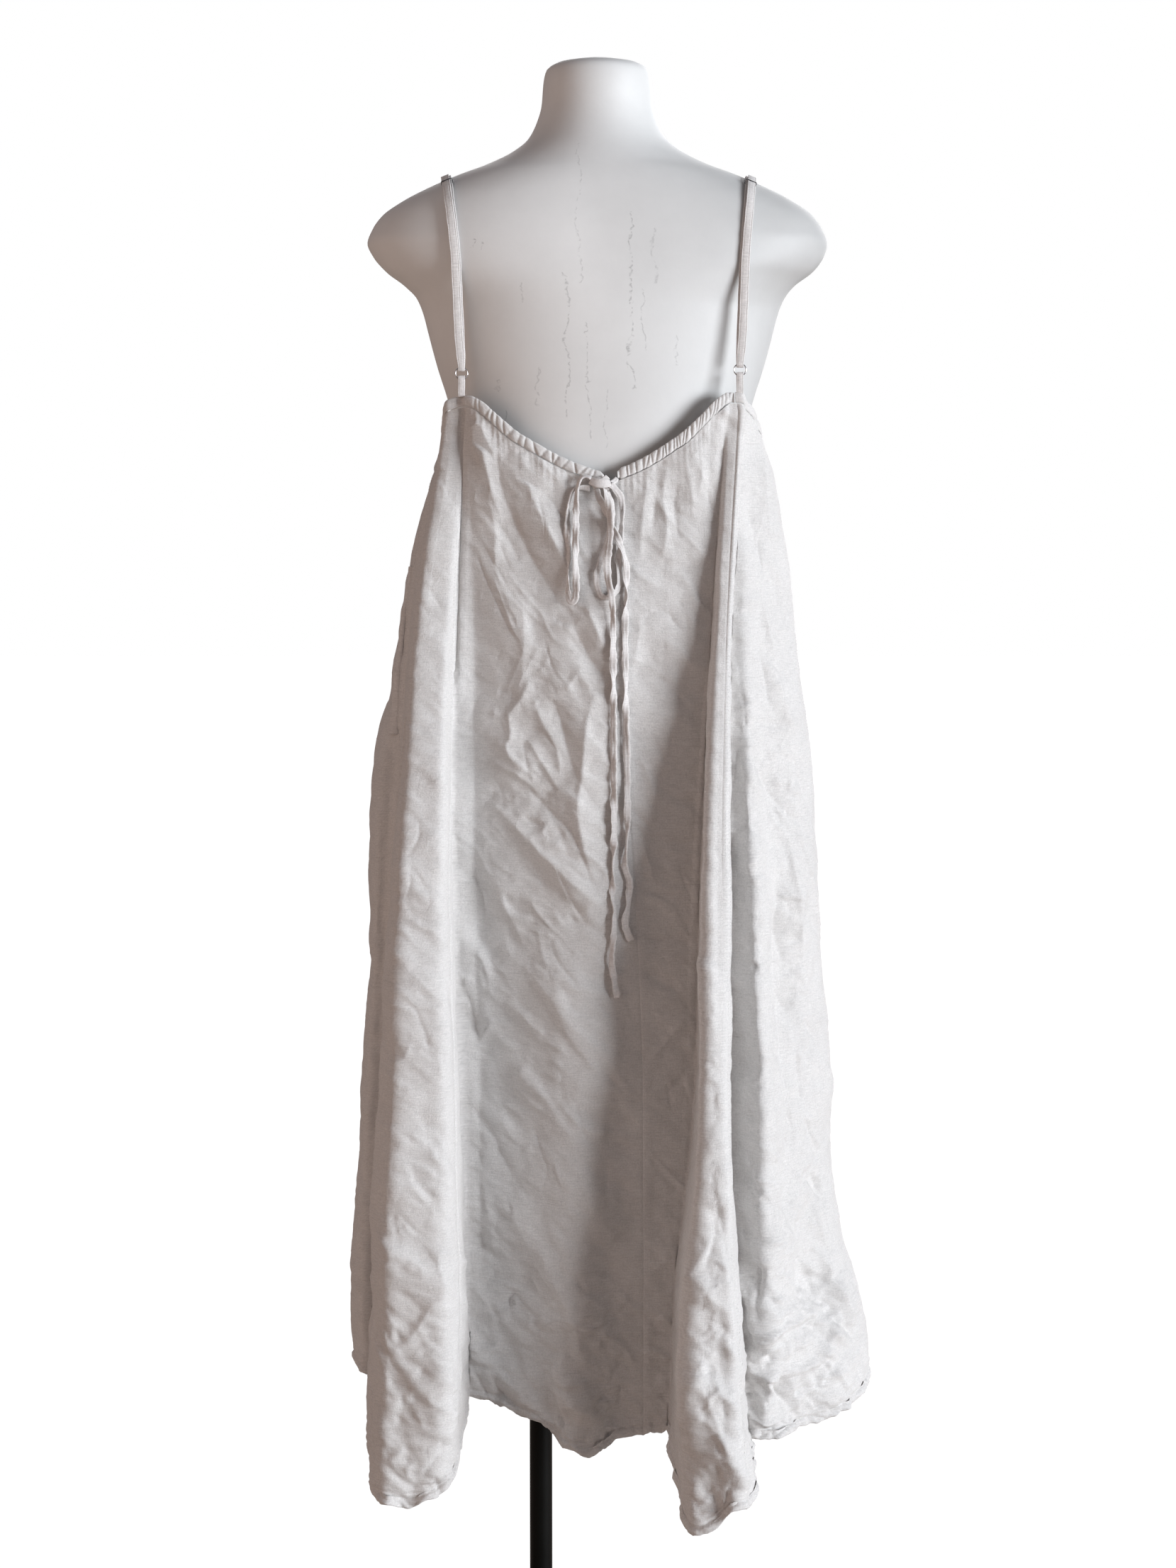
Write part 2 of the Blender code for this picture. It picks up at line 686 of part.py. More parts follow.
def wall_mesh(name, outer, inner):
    """A thin wall between two grids of points (rows down, columns to the right as seen from outside)."""
    rows, columns = outer.shape[:2]
    points = np.concatenate([outer.reshape(-1, 3), inner.reshape(-1, 3)])
    back = rows * columns

    def at(row, column):
        return row * columns + column

    faces = []
    for row in range(rows - 1):
        for column in range(columns - 1):
            quad = (at(row, column), at(row + 1, column), at(row + 1, column + 1), at(row, column + 1))
            turned = [back + corner for corner in (quad[0], quad[3], quad[2], quad[1])]
            for corners in (quad, turned):
                faces.append((corners[0], corners[1], corners[2]))
                faces.append((corners[0], corners[2], corners[3]))
    rim = [at(0, column) for column in range(columns)]
    rim += [at(row, columns - 1) for row in range(1, rows)]
    rim += [at(rows - 1, column) for column in range(columns - 2, -1, -1)]
    rim += [at(row, 0) for row in range(rows - 2, 0, -1)]
    for first, second in zip(rim, rim[1:] + rim[:1]):
        if second < first and first >= at(rows - 1, 0):
            faces.append((first, second, back + first))
            faces.append((second, back + second, back + first))
        else:
            faces.append((first, second, back + second))
            faces.append((first, back + second, back + first))
    return mesh_from(name, points, faces)


def ribbon_mesh(name, path, across, widths, thickness):
    """A flat strip along a path; across is the way its width runs at each point."""
    path = np.asarray(path)
    along = np.gradient(path, axis=0)
    along /= np.linalg.norm(along, axis=1, keepdims=True)
    across = np.asarray(across) - np.sum(np.asarray(across) * along, 1, keepdims=True) * along
    across /= np.linalg.norm(across, axis=1, keepdims=True)
    out = np.cross(along, across)
    sections = []
    for point, side, face, width in zip(path, across, out, widths):
        corners = []
        for u, v in ((-1, -1), (1, -1), (1, 1), (-1, 1)):
            corners.append(point + side * u * width / 2 + face * v * thickness / 2)
        sections.append(corners)
    return lofted_mesh(name, sections)


def resampled(path, spacing):
    """Even steps along a route through the given points."""
    path = np.asarray(path, float)
    along = np.concatenate([[0], np.cumsum(np.linalg.norm(np.diff(path, axis=0), axis=1))])
    count = max(int(round(along[-1] / spacing)), 2)
    at = np.linspace(0, along[-1], count + 1)
    return np.stack([np.interp(at, along, path[:, axis]) for axis in range(3)], -1)


def rounded_route(points, steps=12):
    """A smooth curve through every point of a route."""
    points = np.asarray(points, float)
    ends = np.concatenate([[2 * points[0] - points[1]], points, [2 * points[-1] - points[-2]]])
    route = []
    for i in range(1, len(ends) - 2):
        a, b, c, d = ends[i - 1 : i + 3]
        bend = 2 * a - 5 * b + 4 * c - d
        twist = 3 * b - a - 3 * c + d
        for t in np.linspace(0, 1, steps, endpoint=False):
            route.append(0.5 * (2 * b + (c - a) * t + bend * t**2 + twist * t**3))
    route.append(ends[-2])
    return np.array(route)


def add_cord(name, points, width, colour):
    """A round cord along a route, with flat ends."""
    route = resampled(rounded_route(points), 2.4 * width)
    curve = bpy.data.curves.new(name, "CURVE")
    curve.dimensions = "3D"
    curve.bevel_depth = width / 2
    curve.bevel_resolution = 2
    curve.use_fill_caps = True
    spline = curve.splines.new("POLY")
    spline.points.add(len(route) - 1)
    for point, place in zip(spline.points, route):
        point.co = (*place, 1)
    return add_object(name, curve, colour, 0.85)


def add_turned(name, profile, colour, roughness, metallic, location, on_form):
    """A turned piece: its profile runs down the outer side, from the axis back to the axis."""
    mesh = bpy.data.meshes.new(name)
    edges = [(i, i + 1) for i in range(len(profile) - 1)]
    mesh.from_pydata([(radius, 0, height) for radius, height in profile], edges, [])
    obj = add_object(name, mesh, colour, roughness, metallic, on_form)
    obj.location = location
    screw = obj.modifiers.new("Turn", "SCREW")
    screw.axis = "Z"
    screw.steps = 32
    screw.render_steps = 32
    screw.use_merge_vertices = True
    screw.merge_threshold = 0.00001
    screw.use_smooth_shade = False
    return obj


# Pieces
PANEL_WALLS = []
LINEN = (0.60, 0.58, 0.57)
LINEN_EDGE = (0.56, 0.54, 0.53)
FORM_GREY = (0.62, 0.62, 0.62)
STAND_BLACK = (0.012, 0.012, 0.012)
STEEL = (0.55, 0.55, 0.56)


def build_stand():
    base = ((0, BASE_HEIGHT), (BASE_RADIUS - 0.003, BASE_HEIGHT), (BASE_RADIUS, BASE_HEIGHT - 0.003))
    base += ((BASE_RADIUS, 0), (0, 0))
    add_turned("base_plate", base, STAND_BLACK, 0.45, 0.3, (0, 0, 0), False)

    collar_bottom = FORM_BOTTOM - SEAT_GAP - FLANGE_HEIGHT
    pole_top = collar_bottom - SEAT_GAP
    bpy.ops.mesh.primitive_cylinder_add(
        vertices=24,
        radius=POLE_RADIUS,
        depth=pole_top - POLE_FOOT,
        location=(0, 0, (pole_top + POLE_FOOT) / 2),
    )
    pole = bpy.context.object
    pole.name = "pole"
    pole.data.name = "pole"
    pole.data.materials.append(new_material("pole", STAND_BLACK, 0.4, 0.3))
    for collection in list(pole.users_collection):
        collection.objects.unlink(pole)
    DRESS.objects.link(pole)

    flange = ((0, FLANGE_HEIGHT), (FLANGE_RADIUS, FLANGE_HEIGHT), (FLANGE_RADIUS, FLANGE_HEIGHT - 0.005))
    flange += ((0.017, FLANGE_HEIGHT - 0.007), (0.017, 0), (0, 0))
    add_turned("pole_flange", flange, STAND_BLACK, 0.45, 0.3, (0, 0, collar_bottom), False)


def build_form():
    turn = np.linspace(0, 2 * pi, FORM_COLUMNS, endpoint=False)
    sections = []
    for row in FORM_SECTIONS:
        depth = np.where(np.sin(turn) < 0, row.back, row.front)
        x = row.half_width * np.sign(np.cos(turn)) * np.abs(np.cos(turn)) ** (2 / row.roundness)
        x += row.middle
        y = depth * np.sign(np.sin(turn)) * np.abs(np.sin(turn)) ** (2 / row.roundness)
        sections.append([(*place, row.height) for place in zip(x, y)])
    add_object("dress_form", lofted_mesh("dress_form", sections), FORM_GREY, 0.55)


def build_panels():
    """All panels share one ring of points, so that their walls meet squarely at the seams."""
    places = [np.linspace(i, i + 1, panel.columns + 1)[:-1] for i, panel in enumerate(PANELS)]
    places = np.concatenate(places)
    down = np.linspace(0, 1, ROWS + 1)[:, None]
    top = top_height(places) - casing_height(places) - CASING_GAP
    heights = top + (hem_height(places) - top) * down
    ring = dress_point(np.broadcast_to(places, heights.shape), heights)

    after = np.roll(ring, -1, axis=1) - ring
    after /= np.linalg.norm(after, axis=2, keepdims=True)
    before = np.roll(after, 1, axis=1)
    bend = np.linalg.norm(after + before, axis=2, keepdims=True) / 2
    normal = np.cross(after + before, -np.gradient(ring, axis=0))
    normal /= np.linalg.norm(normal, axis=2, keepdims=True)
    lining = ring - normal * WALL / np.clip(bend, 0.6, 1)

    first = 0
    for index, panel in enumerate(PANELS):
        columns = np.arange(first, first + panel.columns + 1) % len(places)
        first += panel.columns
        walls = []
        for face in (ring, lining):
            wall = face[:, columns]
            for edge, next_to in ((0, 1), (-1, -2)):
                step = wall[:, next_to] - wall[:, edge]
                wall[:, edge] += step / np.linalg.norm(step, axis=1, keepdims=True) * SEAM_GAP / 2
            walls.append(wall)
        add_object(panel.name, wall_mesh(panel.name, *walls), LINEN, 0.9)
        inside = np.linspace(index, index + 1, panel.columns + 1)
        PANEL_WALLS.append((np.clip(inside, index + 0.001, index + 0.999), *walls))


def panel_top(place, face):
    """A point on the panels' top edge, on the outer (1) or the inner (2) face."""
    places = np.concatenate([wall[0] for wall in PANEL_WALLS])
    points = np.concatenate([wall[face][0] for wall in PANEL_WALLS])
    return np.stack([np.interp(place, places, points[:, axis]) for axis in range(3)], -1)


def panel_point(place, height, face):
    """A point of a panel's own outer (1) or inner (2) face at a place and height."""
    index = min(int(place), len(PANELS) - 1)
    wall = PANEL_WALLS[index]
    column = int(np.clip(np.searchsorted(wall[0], place) - 1, 0, len(wall[0]) - 2))
    share = (place - wall[0][column]) / (wall[0][column + 1] - wall[0][column])
    left = wall[face][:, column]
    right = wall[face][:, column + 1]
    level = left * (1 - share) + right * share
    slanted = left[:-1] * (1 - share) + right[1:] * share
    line = np.empty((2 * len(level) - 1, 3))
    line[0::2] = level
    line[1::2] = slanted
    return np.array([np.interp(-height, -line[:, 2], line[:, axis]) for axis in range(3)])


def panel_normal(place, height):
    """The way out through a panel's wall, whose facets turn less evenly than the cloth."""
    through = panel_point(place, height, 1) - panel_point(place, height, 2)
    return through / np.linalg.norm(through)


def build_casings():
    """The turned top edge, drawn into small gathers by the cord inside it."""
    for casing in CASINGS:
        count = casing.gathers * COLUMNS_PER_GATHER
        places = np.linspace(casing.start, casing.end, count + 1)
        taken = 0
        for corner in np.unique(np.concatenate([wall[0] for wall in PANEL_WALLS])):
            if places[0] < corner < places[-1]:
                nearest = int(np.argmin(abs(places - corner)))
                taken = min(max(nearest, taken + 1), count - 1)
                places[taken] = corner
        step = np.arange(count + 1)
        swell = np.array([0.95, 0.30, -0.95])[step % COLUMNS_PER_GATHER]
        swell = swell * (0.85 + 0.3 * np.sin(1.7 * step))
        foot = panel_top(places, 1)[:, 2] + CASING_GAP
        height = top_height(places) - foot
        profile = ((0.0, 0.2, 0.00), (0.5, 1.7, 0.60), (1.0, 0.5, 0.15))
        outer = []
        inner = []
        gap = np.array([0, 0, CASING_GAP])
        for up, out, gathered in profile[::-1]:
            level = foot + height * up
            normal = dress_normal(places, level)
            if up == 0:
                outer.append(panel_top(places, 1) + gap)
                inner.append(panel_top(places, 2) + gap)
            else:
                point = dress_point(places, level)
                outer.append(point + normal * (out + gathered * swell)[:, None] * 0.001)
                inner.append(point - normal * WALL)
        add_object(casing.name, wall_mesh(casing.name, np.array(outer), np.array(inner)), LINEN_EDGE, 0.9)


def build_pocket():
    """The pocket's turned mouth on the left side seam, and its bag inside."""
    spread, levels = np.meshgrid(MOUTH_PLACES, np.linspace(POCKET_TOP, POCKET_BOTTOM, 25))
    spots = list(zip(spread.ravel(), levels.ravel()))
    point = np.array([panel_point(*spot, 1) for spot in spots]).reshape(*spread.shape, 3)
    normal = np.array([panel_normal(*spot) for spot in spots]).reshape(*spread.shape, 3)
    outer = point + normal * MOUTH_THICKNESS
    inner = point + normal * MOUTH_LIFT
    add_object("pocket_mouth_left", wall_mesh("pocket_mouth_left", outer, inner), LINEN_EDGE, 0.9)

    steps = 9
    levels = np.linspace(POCKET_TOP + 0.012, POCKET_TOP - POCKET_DEPTH, steps)
    middle = (levels[0] + levels[-1]) / 2
    half = (levels[0] - levels[-1]) / 2
    reach = POCKET_REACH * np.sqrt(np.clip(1 - ((levels - middle) / half) ** 4, 0.12, 1)) / 2
    spread = POCKET_PLACE - reach[:, None] * np.linspace(1, 0, steps)
    levels = np.broadcast_to(levels[:, None], spread.shape)
    spots = list(zip(spread.ravel(), levels.ravel()))
    point = np.array([panel_point(*spot, 2) for spot in spots]).reshape(*spread.shape, 3)
    normal = np.array([panel_normal(*spot) for spot in spots]).reshape(*spread.shape, 3)
    hang = 0.0007 + 0.0055 * smooth_step(0.0, 0.09, POCKET_PLACE - spread)[..., None]
    outer = point - normal * hang
    inner = point - normal * (hang + POCKET_THICKNESS)
    add_object("pocket_bag_left", wall_mesh("pocket_bag_left", outer, inner), LINEN, 0.9)


def taut_hull(points):
    """The stretched line over a row of (depth, height) points."""
    hull = []
    for i in range(len(points)):
        while len(hull) > 1:
            a = points[hull[-1]] - points[hull[-2]]
            b = points[i] - points[hull[-1]]
            if a[0] * b[1] - a[1] * b[0] >= 0:
                hull.pop()
            else:
                break
        hull.append(i)
    return hull


def ring_centre(strap):
    corner = dress_point(strap.back_place, top_height(strap.back_place))
    return np.array([strap.sign * strap.ring_x, corner[1] + WALL / 2, corner[2] + RING_RISE])


def strap_route(strap):
    """From the front corner over the shoulder to the ring, stretched over the form."""
    foot = dress_point(strap.front_place, top_height(strap.front_place))
    foot += np.array([0, -WALL / 2, 4 * SEAM_GAP])
    ring = ring_centre(strap)
    last = ring + np.array([0, RING_LAYER, RING_RADIUS + 2 * RING_WIRE])
    chain = [foot]
    for turn in np.linspace(0.10, pi - 0.05, 70):
        over = smooth_step(0.1, pi / 2, turn)
        down = smooth_step(pi / 2, pi - 0.3, turn)
        x = abs(foot[0]) * (1 - over) + (strap.top_x * (1 - down) + strap.ring_x * down) * over
        start = np.array([strap.sign * x, 0.0, STRAP_PIVOT])
        skin = form_skin(start, np.array([0, np.cos(turn), np.sin(turn)]))
        point = skin + form_normal(skin) * (STRAP_LIFT + STRAP_THICKNESS / 2)
        if point[2] > (foot[2] if point[1] > 0 else last[2]) + STRAP_WIDTH * 1.5:
            chain.append(point)
    chain.append(last)
    chain = np.array(chain)
    return chain[taut_hull(np.stack([-chain[:, 1], chain[:, 2]], -1))]


def turn_round_wire(ring, up):
    """Half a turn of cloth round the ring's wire, from its front to its back."""
    wire = ring + np.array([0, 0, up * RING_RADIUS])
    turn = np.linspace(0, pi, 7)
    return [wire + np.array([0, -RING_LAYER * np.cos(a), -up * 0.0030 * np.sin(a)]) for a in turn]


def add_ring(strap):
    bpy.ops.mesh.primitive_torus_add(
        major_segments=18,
        minor_segments=6,
        major_radius=RING_RADIUS,
        minor_radius=RING_WIRE,
        location=ring_centre(strap),
        rotation=(pi / 2, 0, 0),
    )
    ring = bpy.context.object
    ring.name = "ring_" + strap.side
    ring.data.name = ring.name
    ring.data.shade_smooth()
    ring.data.materials.append(new_material(ring.name, STEEL, 0.25, 1.0))
    for collection in list(ring.users_collection):
        collection.objects.unlink(ring)
    DRESS.objects.link(ring)
    ring.parent = FORM_CENTRE


def add_slider(strap, place, across, along):
    """A flat metal frame round both layers of the strap."""
    name = "slider_" + strap.side
    curve = bpy.data.curves.new(name, "CURVE")
    curve.dimensions = "2D"
    curve.fill_mode = "BOTH"
    curve.extrude = 0.0006
    for grow in (SLIDER_BAR, 0):
        half_x = SLIDER_OPENING[0] / 2 + grow
        half_y = SLIDER_OPENING[1] / 2 + grow
        spline = curve.splines.new("POLY")
        spline.points.add(3)
        spline.use_cyclic_u = True
        for point, (u, v) in zip(spline.points, ((-1, -1), (1, -1), (1, 1), (-1, 1))):
            point.co = (u * half_x, v * half_y, 0, 1)
    obj = add_object(name, curve, STAND_BLACK, 0.35, 0.8)
    up = np.cross(along, across)
    obj.location = place
    obj.rotation_euler = Matrix((across, up, along)).transposed().to_euler()


def build_straps():
    for strap in STRAPS:
        ring = ring_centre(strap)
        main = resampled(strap_route(strap), 0.012)
        along = np.gradient(main, axis=0)
        along /= np.linalg.norm(along, axis=1, keepdims=True)
        hanging = (smooth_step(1.425, 1.375, main[:, 2]) * (main[:, 1] < 0))[:, None]
        faces = np.array([form_normal(point) for point in main])
        faces = faces * (1 - hanging) + np.array([0, -1.0, 0]) * hanging
        across = np.cross(along, faces)
        across /= np.linalg.norm(across, axis=1, keepdims=True)
        faces = np.cross(across, along)

        over_ring = main[:, 2] > ring[2] + 2 * RING_RADIUS
        back = np.flatnonzero((main[:, 1] < STRAP_TOP) & over_ring)[::-1]
        rise = smooth_step(2 * RING_RADIUS, STRAP_CLOSING, main[back, 2] - ring[2])[:, None]
        layer = 2 * RING_LAYER * (1 - rise) + (STRAP_THICKNESS + STRAP_LAYERS) * rise
        spread = smooth_step(0, 5 * STRAP_WIDTH, main[back, 2] - ring[2])[:, None] * STRAP_SPREAD
        returned = main[back] + faces[back] * layer + np.array([strap.sign, 0, 0]) * spread

        turned = np.array(turn_round_wire(ring, 1))[::-1]
        path = np.concatenate([main, turned, returned])
        side_way = np.concatenate([across, np.tile(across[-1], (len(turned), 1)), -across[back]])
        side_way[len(main) :] *= np.sign(side_way[len(main) :] @ across[-1])[:, None]
        low = np.minimum(1, abs(path[:, 2] - ring[2] - RING_RADIUS) / (2 * RING_RADIUS))
        low[path[:, 1] > 0] = 1
        widths = STRAP_LOOP_WIDTH + (STRAP_WIDTH - STRAP_LOOP_WIDTH) * low
        name = "strap_" + strap.side
        add_object(name, ribbon_mesh(name, path, side_way, widths, STRAP_THICKNESS), LINEN, 0.9)
        add_ring(strap)

        top = back[-2]
        middle = (main[top] + returned[-2]) / 2
        add_slider(strap, middle, across[top], along[top])

        corner = dress_point(strap.back_place, top_height(strap.back_place))
        under = []
        for side in (-1, 1):
            foot = ring + np.array([0, side * (STRAP_THICKNESS / 2 + 0.0002), 0])
            foot[2] = corner[2] + SEAM_GAP
            knee = ring + np.array([0, side * RING_LAYER, -RING_RADIUS - 2 * RING_WIRE])
            under.append([foot, (foot + knee) / 2, knee])
        tab = [*under[0], *turn_round_wire(ring, -1), *under[1][::-1]]
        name = "tab_" + strap.side
        ways = np.tile([1.0, 0, 0], (len(tab), 1))
        widths = np.full(len(tab), STRAP_LOOP_WIDTH)
        add_object(name, ribbon_mesh(name, tab, ways, widths, STRAP_THICKNESS), LINEN, 0.9)


def tie_point(x, height, layer):
    depth = back_depth(x, height) - TIE_LIFT - TIE_WIDTH / 2 - layer * TIE_LAYER
    return np.array([x, depth, height])


def build_drawstring():
    """The cord that shows between the casing's ends, its knot, and the bow's loops and ties."""
    level = top_height(0.0) - CASING_HEIGHT / 2
    first = dress_point(CASINGS[-1].end, level)
    last = dress_point(CASINGS[0].start, level)
    clear = WALL / 2
    ends = [first + np.array([clear, clear, 0]), last + np.array([-clear, clear, 0])]
    add_cord("drawstring", ends, CORD_INSIDE, LINEN)

    bpy.ops.mesh.primitive_uv_sphere_add(segments=14, ring_count=8, radius=0.5)
    knot = bpy.context.object
    knot.name = "knot"
    knot.data.name = "knot"
    knot.data.transform(Matrix.Diagonal((*KNOT_SIZE, 1)))
    knot.location = (KNOT_PLACE[0], back_depth(*KNOT_PLACE) - KNOT_LIFT, KNOT_PLACE[1])
    knot.data.shade_smooth()
    knot.data.materials.append(new_material("knot", LINEN, 0.9))
    for collection in list(knot.users_collection):
        collection.objects.unlink(knot)
    DRESS.objects.link(knot)
    knot.parent = FORM_CENTRE

    for name, route in TIES.items():
        add_cord(name, [tie_point(*stop) for stop in route], TIE_WIDTH, LINEN)


def main():
    build_stand()
    build_form()
    build_panels()
    build_casings()
    build_pocket()
    build_straps()
    build_drawstring()


clear_scene()
DRESS = new_collection("sundress")
FORM_CENTRE = bpy.data.objects.new("form_centre", None)
FORM_CENTRE.location = (FORM_X, 0, 0)
DRESS.objects.link(FORM_CENTRE)
main()
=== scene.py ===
"""Linen sundress on a limbless dress form with a pole stand, seen from behind.

Metres, +Z up. Places round the dress count from 0 at the centre back seam to 5 there again.
"""

from collections import namedtuple
from math import cos, pi, radians, sin

import bpy
import numpy as np
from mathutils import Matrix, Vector


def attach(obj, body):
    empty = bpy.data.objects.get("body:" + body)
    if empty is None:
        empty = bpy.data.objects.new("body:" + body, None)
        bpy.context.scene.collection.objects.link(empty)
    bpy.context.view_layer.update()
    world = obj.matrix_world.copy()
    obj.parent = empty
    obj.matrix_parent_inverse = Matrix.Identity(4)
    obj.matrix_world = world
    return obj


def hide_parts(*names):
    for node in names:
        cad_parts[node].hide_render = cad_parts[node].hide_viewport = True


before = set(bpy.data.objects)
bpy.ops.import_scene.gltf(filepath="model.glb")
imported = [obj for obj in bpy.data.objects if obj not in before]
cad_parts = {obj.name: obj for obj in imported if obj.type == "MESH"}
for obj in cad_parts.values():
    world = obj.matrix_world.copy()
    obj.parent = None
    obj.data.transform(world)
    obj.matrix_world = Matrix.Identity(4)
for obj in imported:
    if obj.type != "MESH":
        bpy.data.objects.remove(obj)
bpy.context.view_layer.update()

# Where things stand; the form's middle is FORM_X beside the pole
FORM_X = 0.056
FORM_BOTTOM = 0.842
FORM_CAP = 0.0022  # how far the crown rises over the form's last section
POLE_RADIUS = 0.011
POLE_FOOT = 0.0093
BASE_RADIUS = 0.165
BASE_HEIGHT = 0.009
FLANGE_RADIUS = 0.042
FLANGE_HEIGHT = 0.030
FLANGE_COLLAR = 0.0170  # radius below the flange's disc
SEAT_GAP = 0.0003  # between the form, the flange and the pole

# Cloth
WALL = 0.0016
SEAM_GAP = 0.0003
CASING_HEIGHT = 0.0100
CASING_GAP = 0.0003
CASING_SHOWN = 0.8  # share of a casing's flat cloth that its pleats leave showing
CLOTH_STEP = 0.0019
CLOTH_ROWS = 489
FRONT = 2  # the front panel's number; it has half as many rows as the others
FRONT_COLUMNS = 330
LEAST_AREA = 0.31  # of the rectangle that holds a sheet
FORM_CLEARANCE = 0.002  # the cloth keeps this far off the form

# Casings
PLEAT_STEP = 0.0006
PLEAT_DEPTH = 0.0020
CASING_BULGE = 0.0024
CASING_WRAP = 0.42 * pi  # how far the cloth turns in at the casing's top and foot
CASING_SLACK = 0.0035  # the casing narrows over this length at its open ends

# Straps
STRAP_WIDTH = 0.0080
STRAP_LOOP_WIDTH = 0.0062
STRAP_THICKNESS = 0.0013
STRAP_LIFT = 0.0013
STRAP_STEP = 0.0025
STRAP_PIVOT = 1.29  # height inside the form that the strap's line turns about
STRAP_TOP = -0.036  # the return layer ends this far behind the form's middle
STRAP_LAYERS = 0.0007  # between the strap's two layers
STRAP_SPREAD = 0.0014  # the return layer shows this far beside the other
STRAP_CLOSING = 0.150  # over this height above the ring the layers come together
RING_RADIUS = 0.0055
RING_WIRE = 0.0006
RING_RISE = 0.0203
RING_LAYER = 0.0018
SLIDER_OPENING = (0.0098, 0.0040)
SLIDER_BAR = 0.0007
SLIDER_CORNER = 0.0012

# Bow
TIE_WIDTH = 0.0050
TIE_LIFT = 0.0009
TIE_LAYER = 0.0056
TIE_STEP = 0.0011
TIE_TURNS = 0.012  # the strips twist and swell anew after this length
TIE_TAPER = 0.006
KNOT_PLACE = (0.0012, 1.1560)
KNOT_LIFT = 0.0062

# Stitches
STITCH_LENGTH = 0.0023
STITCH_PITCH = 0.0031
STITCH_THICKNESS = 0.00024
STITCH_LIFT = 0.00012

# The dress form at each height; a roundness of 2 is an ellipse
FormSection = namedtuple("FormSection", "height middle half_width back front roundness")
FORM_SECTIONS = [FormSection(*row) for row in (
    (0.842, 0.0020, 0.1560, 0.1040, 0.0960, 2.2),
    (0.850, 0.0020, 0.1640, 0.1100, 0.1030, 2.2),
    (0.880, 0.0020, 0.1675, 0.1130, 0.1060, 2.2),
    (0.930, 0.0020, 0.1665, 0.1130, 0.1070, 2.2),
    (0.980, 0.0020, 0.1580, 0.1080, 0.1050, 2.2),
    (1.030, 0.0020, 0.1430, 0.0980, 0.1020, 2.2),
    (1.080, 0.0020, 0.1290, 0.0900, 0.1000, 2.2),
    (1.120, 0.0020, 0.1240, 0.0880, 0.1030, 2.2),
    (1.160, 0.0020, 0.1280, 0.0910, 0.1140, 2.2),
    (1.200, 0.0020, 0.1360, 0.0960, 0.1240, 2.2),
    (1.235, 0.0020, 0.1445, 0.1000, 0.1270, 2.2),
    (1.265, 0.0020, 0.1540, 0.1030, 0.1230, 2.2),
    (1.295, 0.0020, 0.1620, 0.1050, 0.1150, 2.2),
    (1.316, 0.0020, 0.1675, 0.1060, 0.1080, 2.2),
    (1.330, 0.0020, 0.1735, 0.1060, 0.1035, 2.3),
    (1.342, 0.0010, 0.1842, 0.1055, 0.1000, 2.4),
    (1.355, 0.0010, 0.2015, 0.1045, 0.0960, 2.4),
    (1.368, 0.0000, 0.2118, 0.1030, 0.0920, 2.4),
    (1.380, -0.0010, 0.2162, 0.1015, 0.0880, 2.4),
    (1.393, -0.0010, 0.2115, 0.0990, 0.0840, 2.4),
    (1.406, -0.0010, 0.2015, 0.0955, 0.0790, 2.4),
    (1.418, -0.0010, 0.1840, 0.0915, 0.0740, 2.4),
    (1.430, -0.0010, 0.1610, 0.0870, 0.0690, 2.3),
    (1.442, -0.0010, 0.1335, 0.0810, 0.0645, 2.2),
    (1.453, -0.0010, 0.1045, 0.0750, 0.0610, 2.0),
    (1.464, -0.0010, 0.0815, 0.0690, 0.0580, 2.0),
    (1.476, -0.0010, 0.0660, 0.0630, 0.0560, 2.0),
    (1.490, -0.0010, 0.0580, 0.0570, 0.0540, 2.0),
    (1.508, -0.0010, 0.0525, 0.0530, 0.0525, 2.0),
    (1.530, -0.0010, 0.0505, 0.0510, 0.0510, 2.0),
    (1.540, -0.0010, 0.0480, 0.0485, 0.0485, 2.0),
    (1.546, -0.0010, 0.0400, 0.0400, 0.0400, 2.0),
    (1.5490, -0.0010, 0.0260, 0.0260, 0.0260, 2.0),
)]

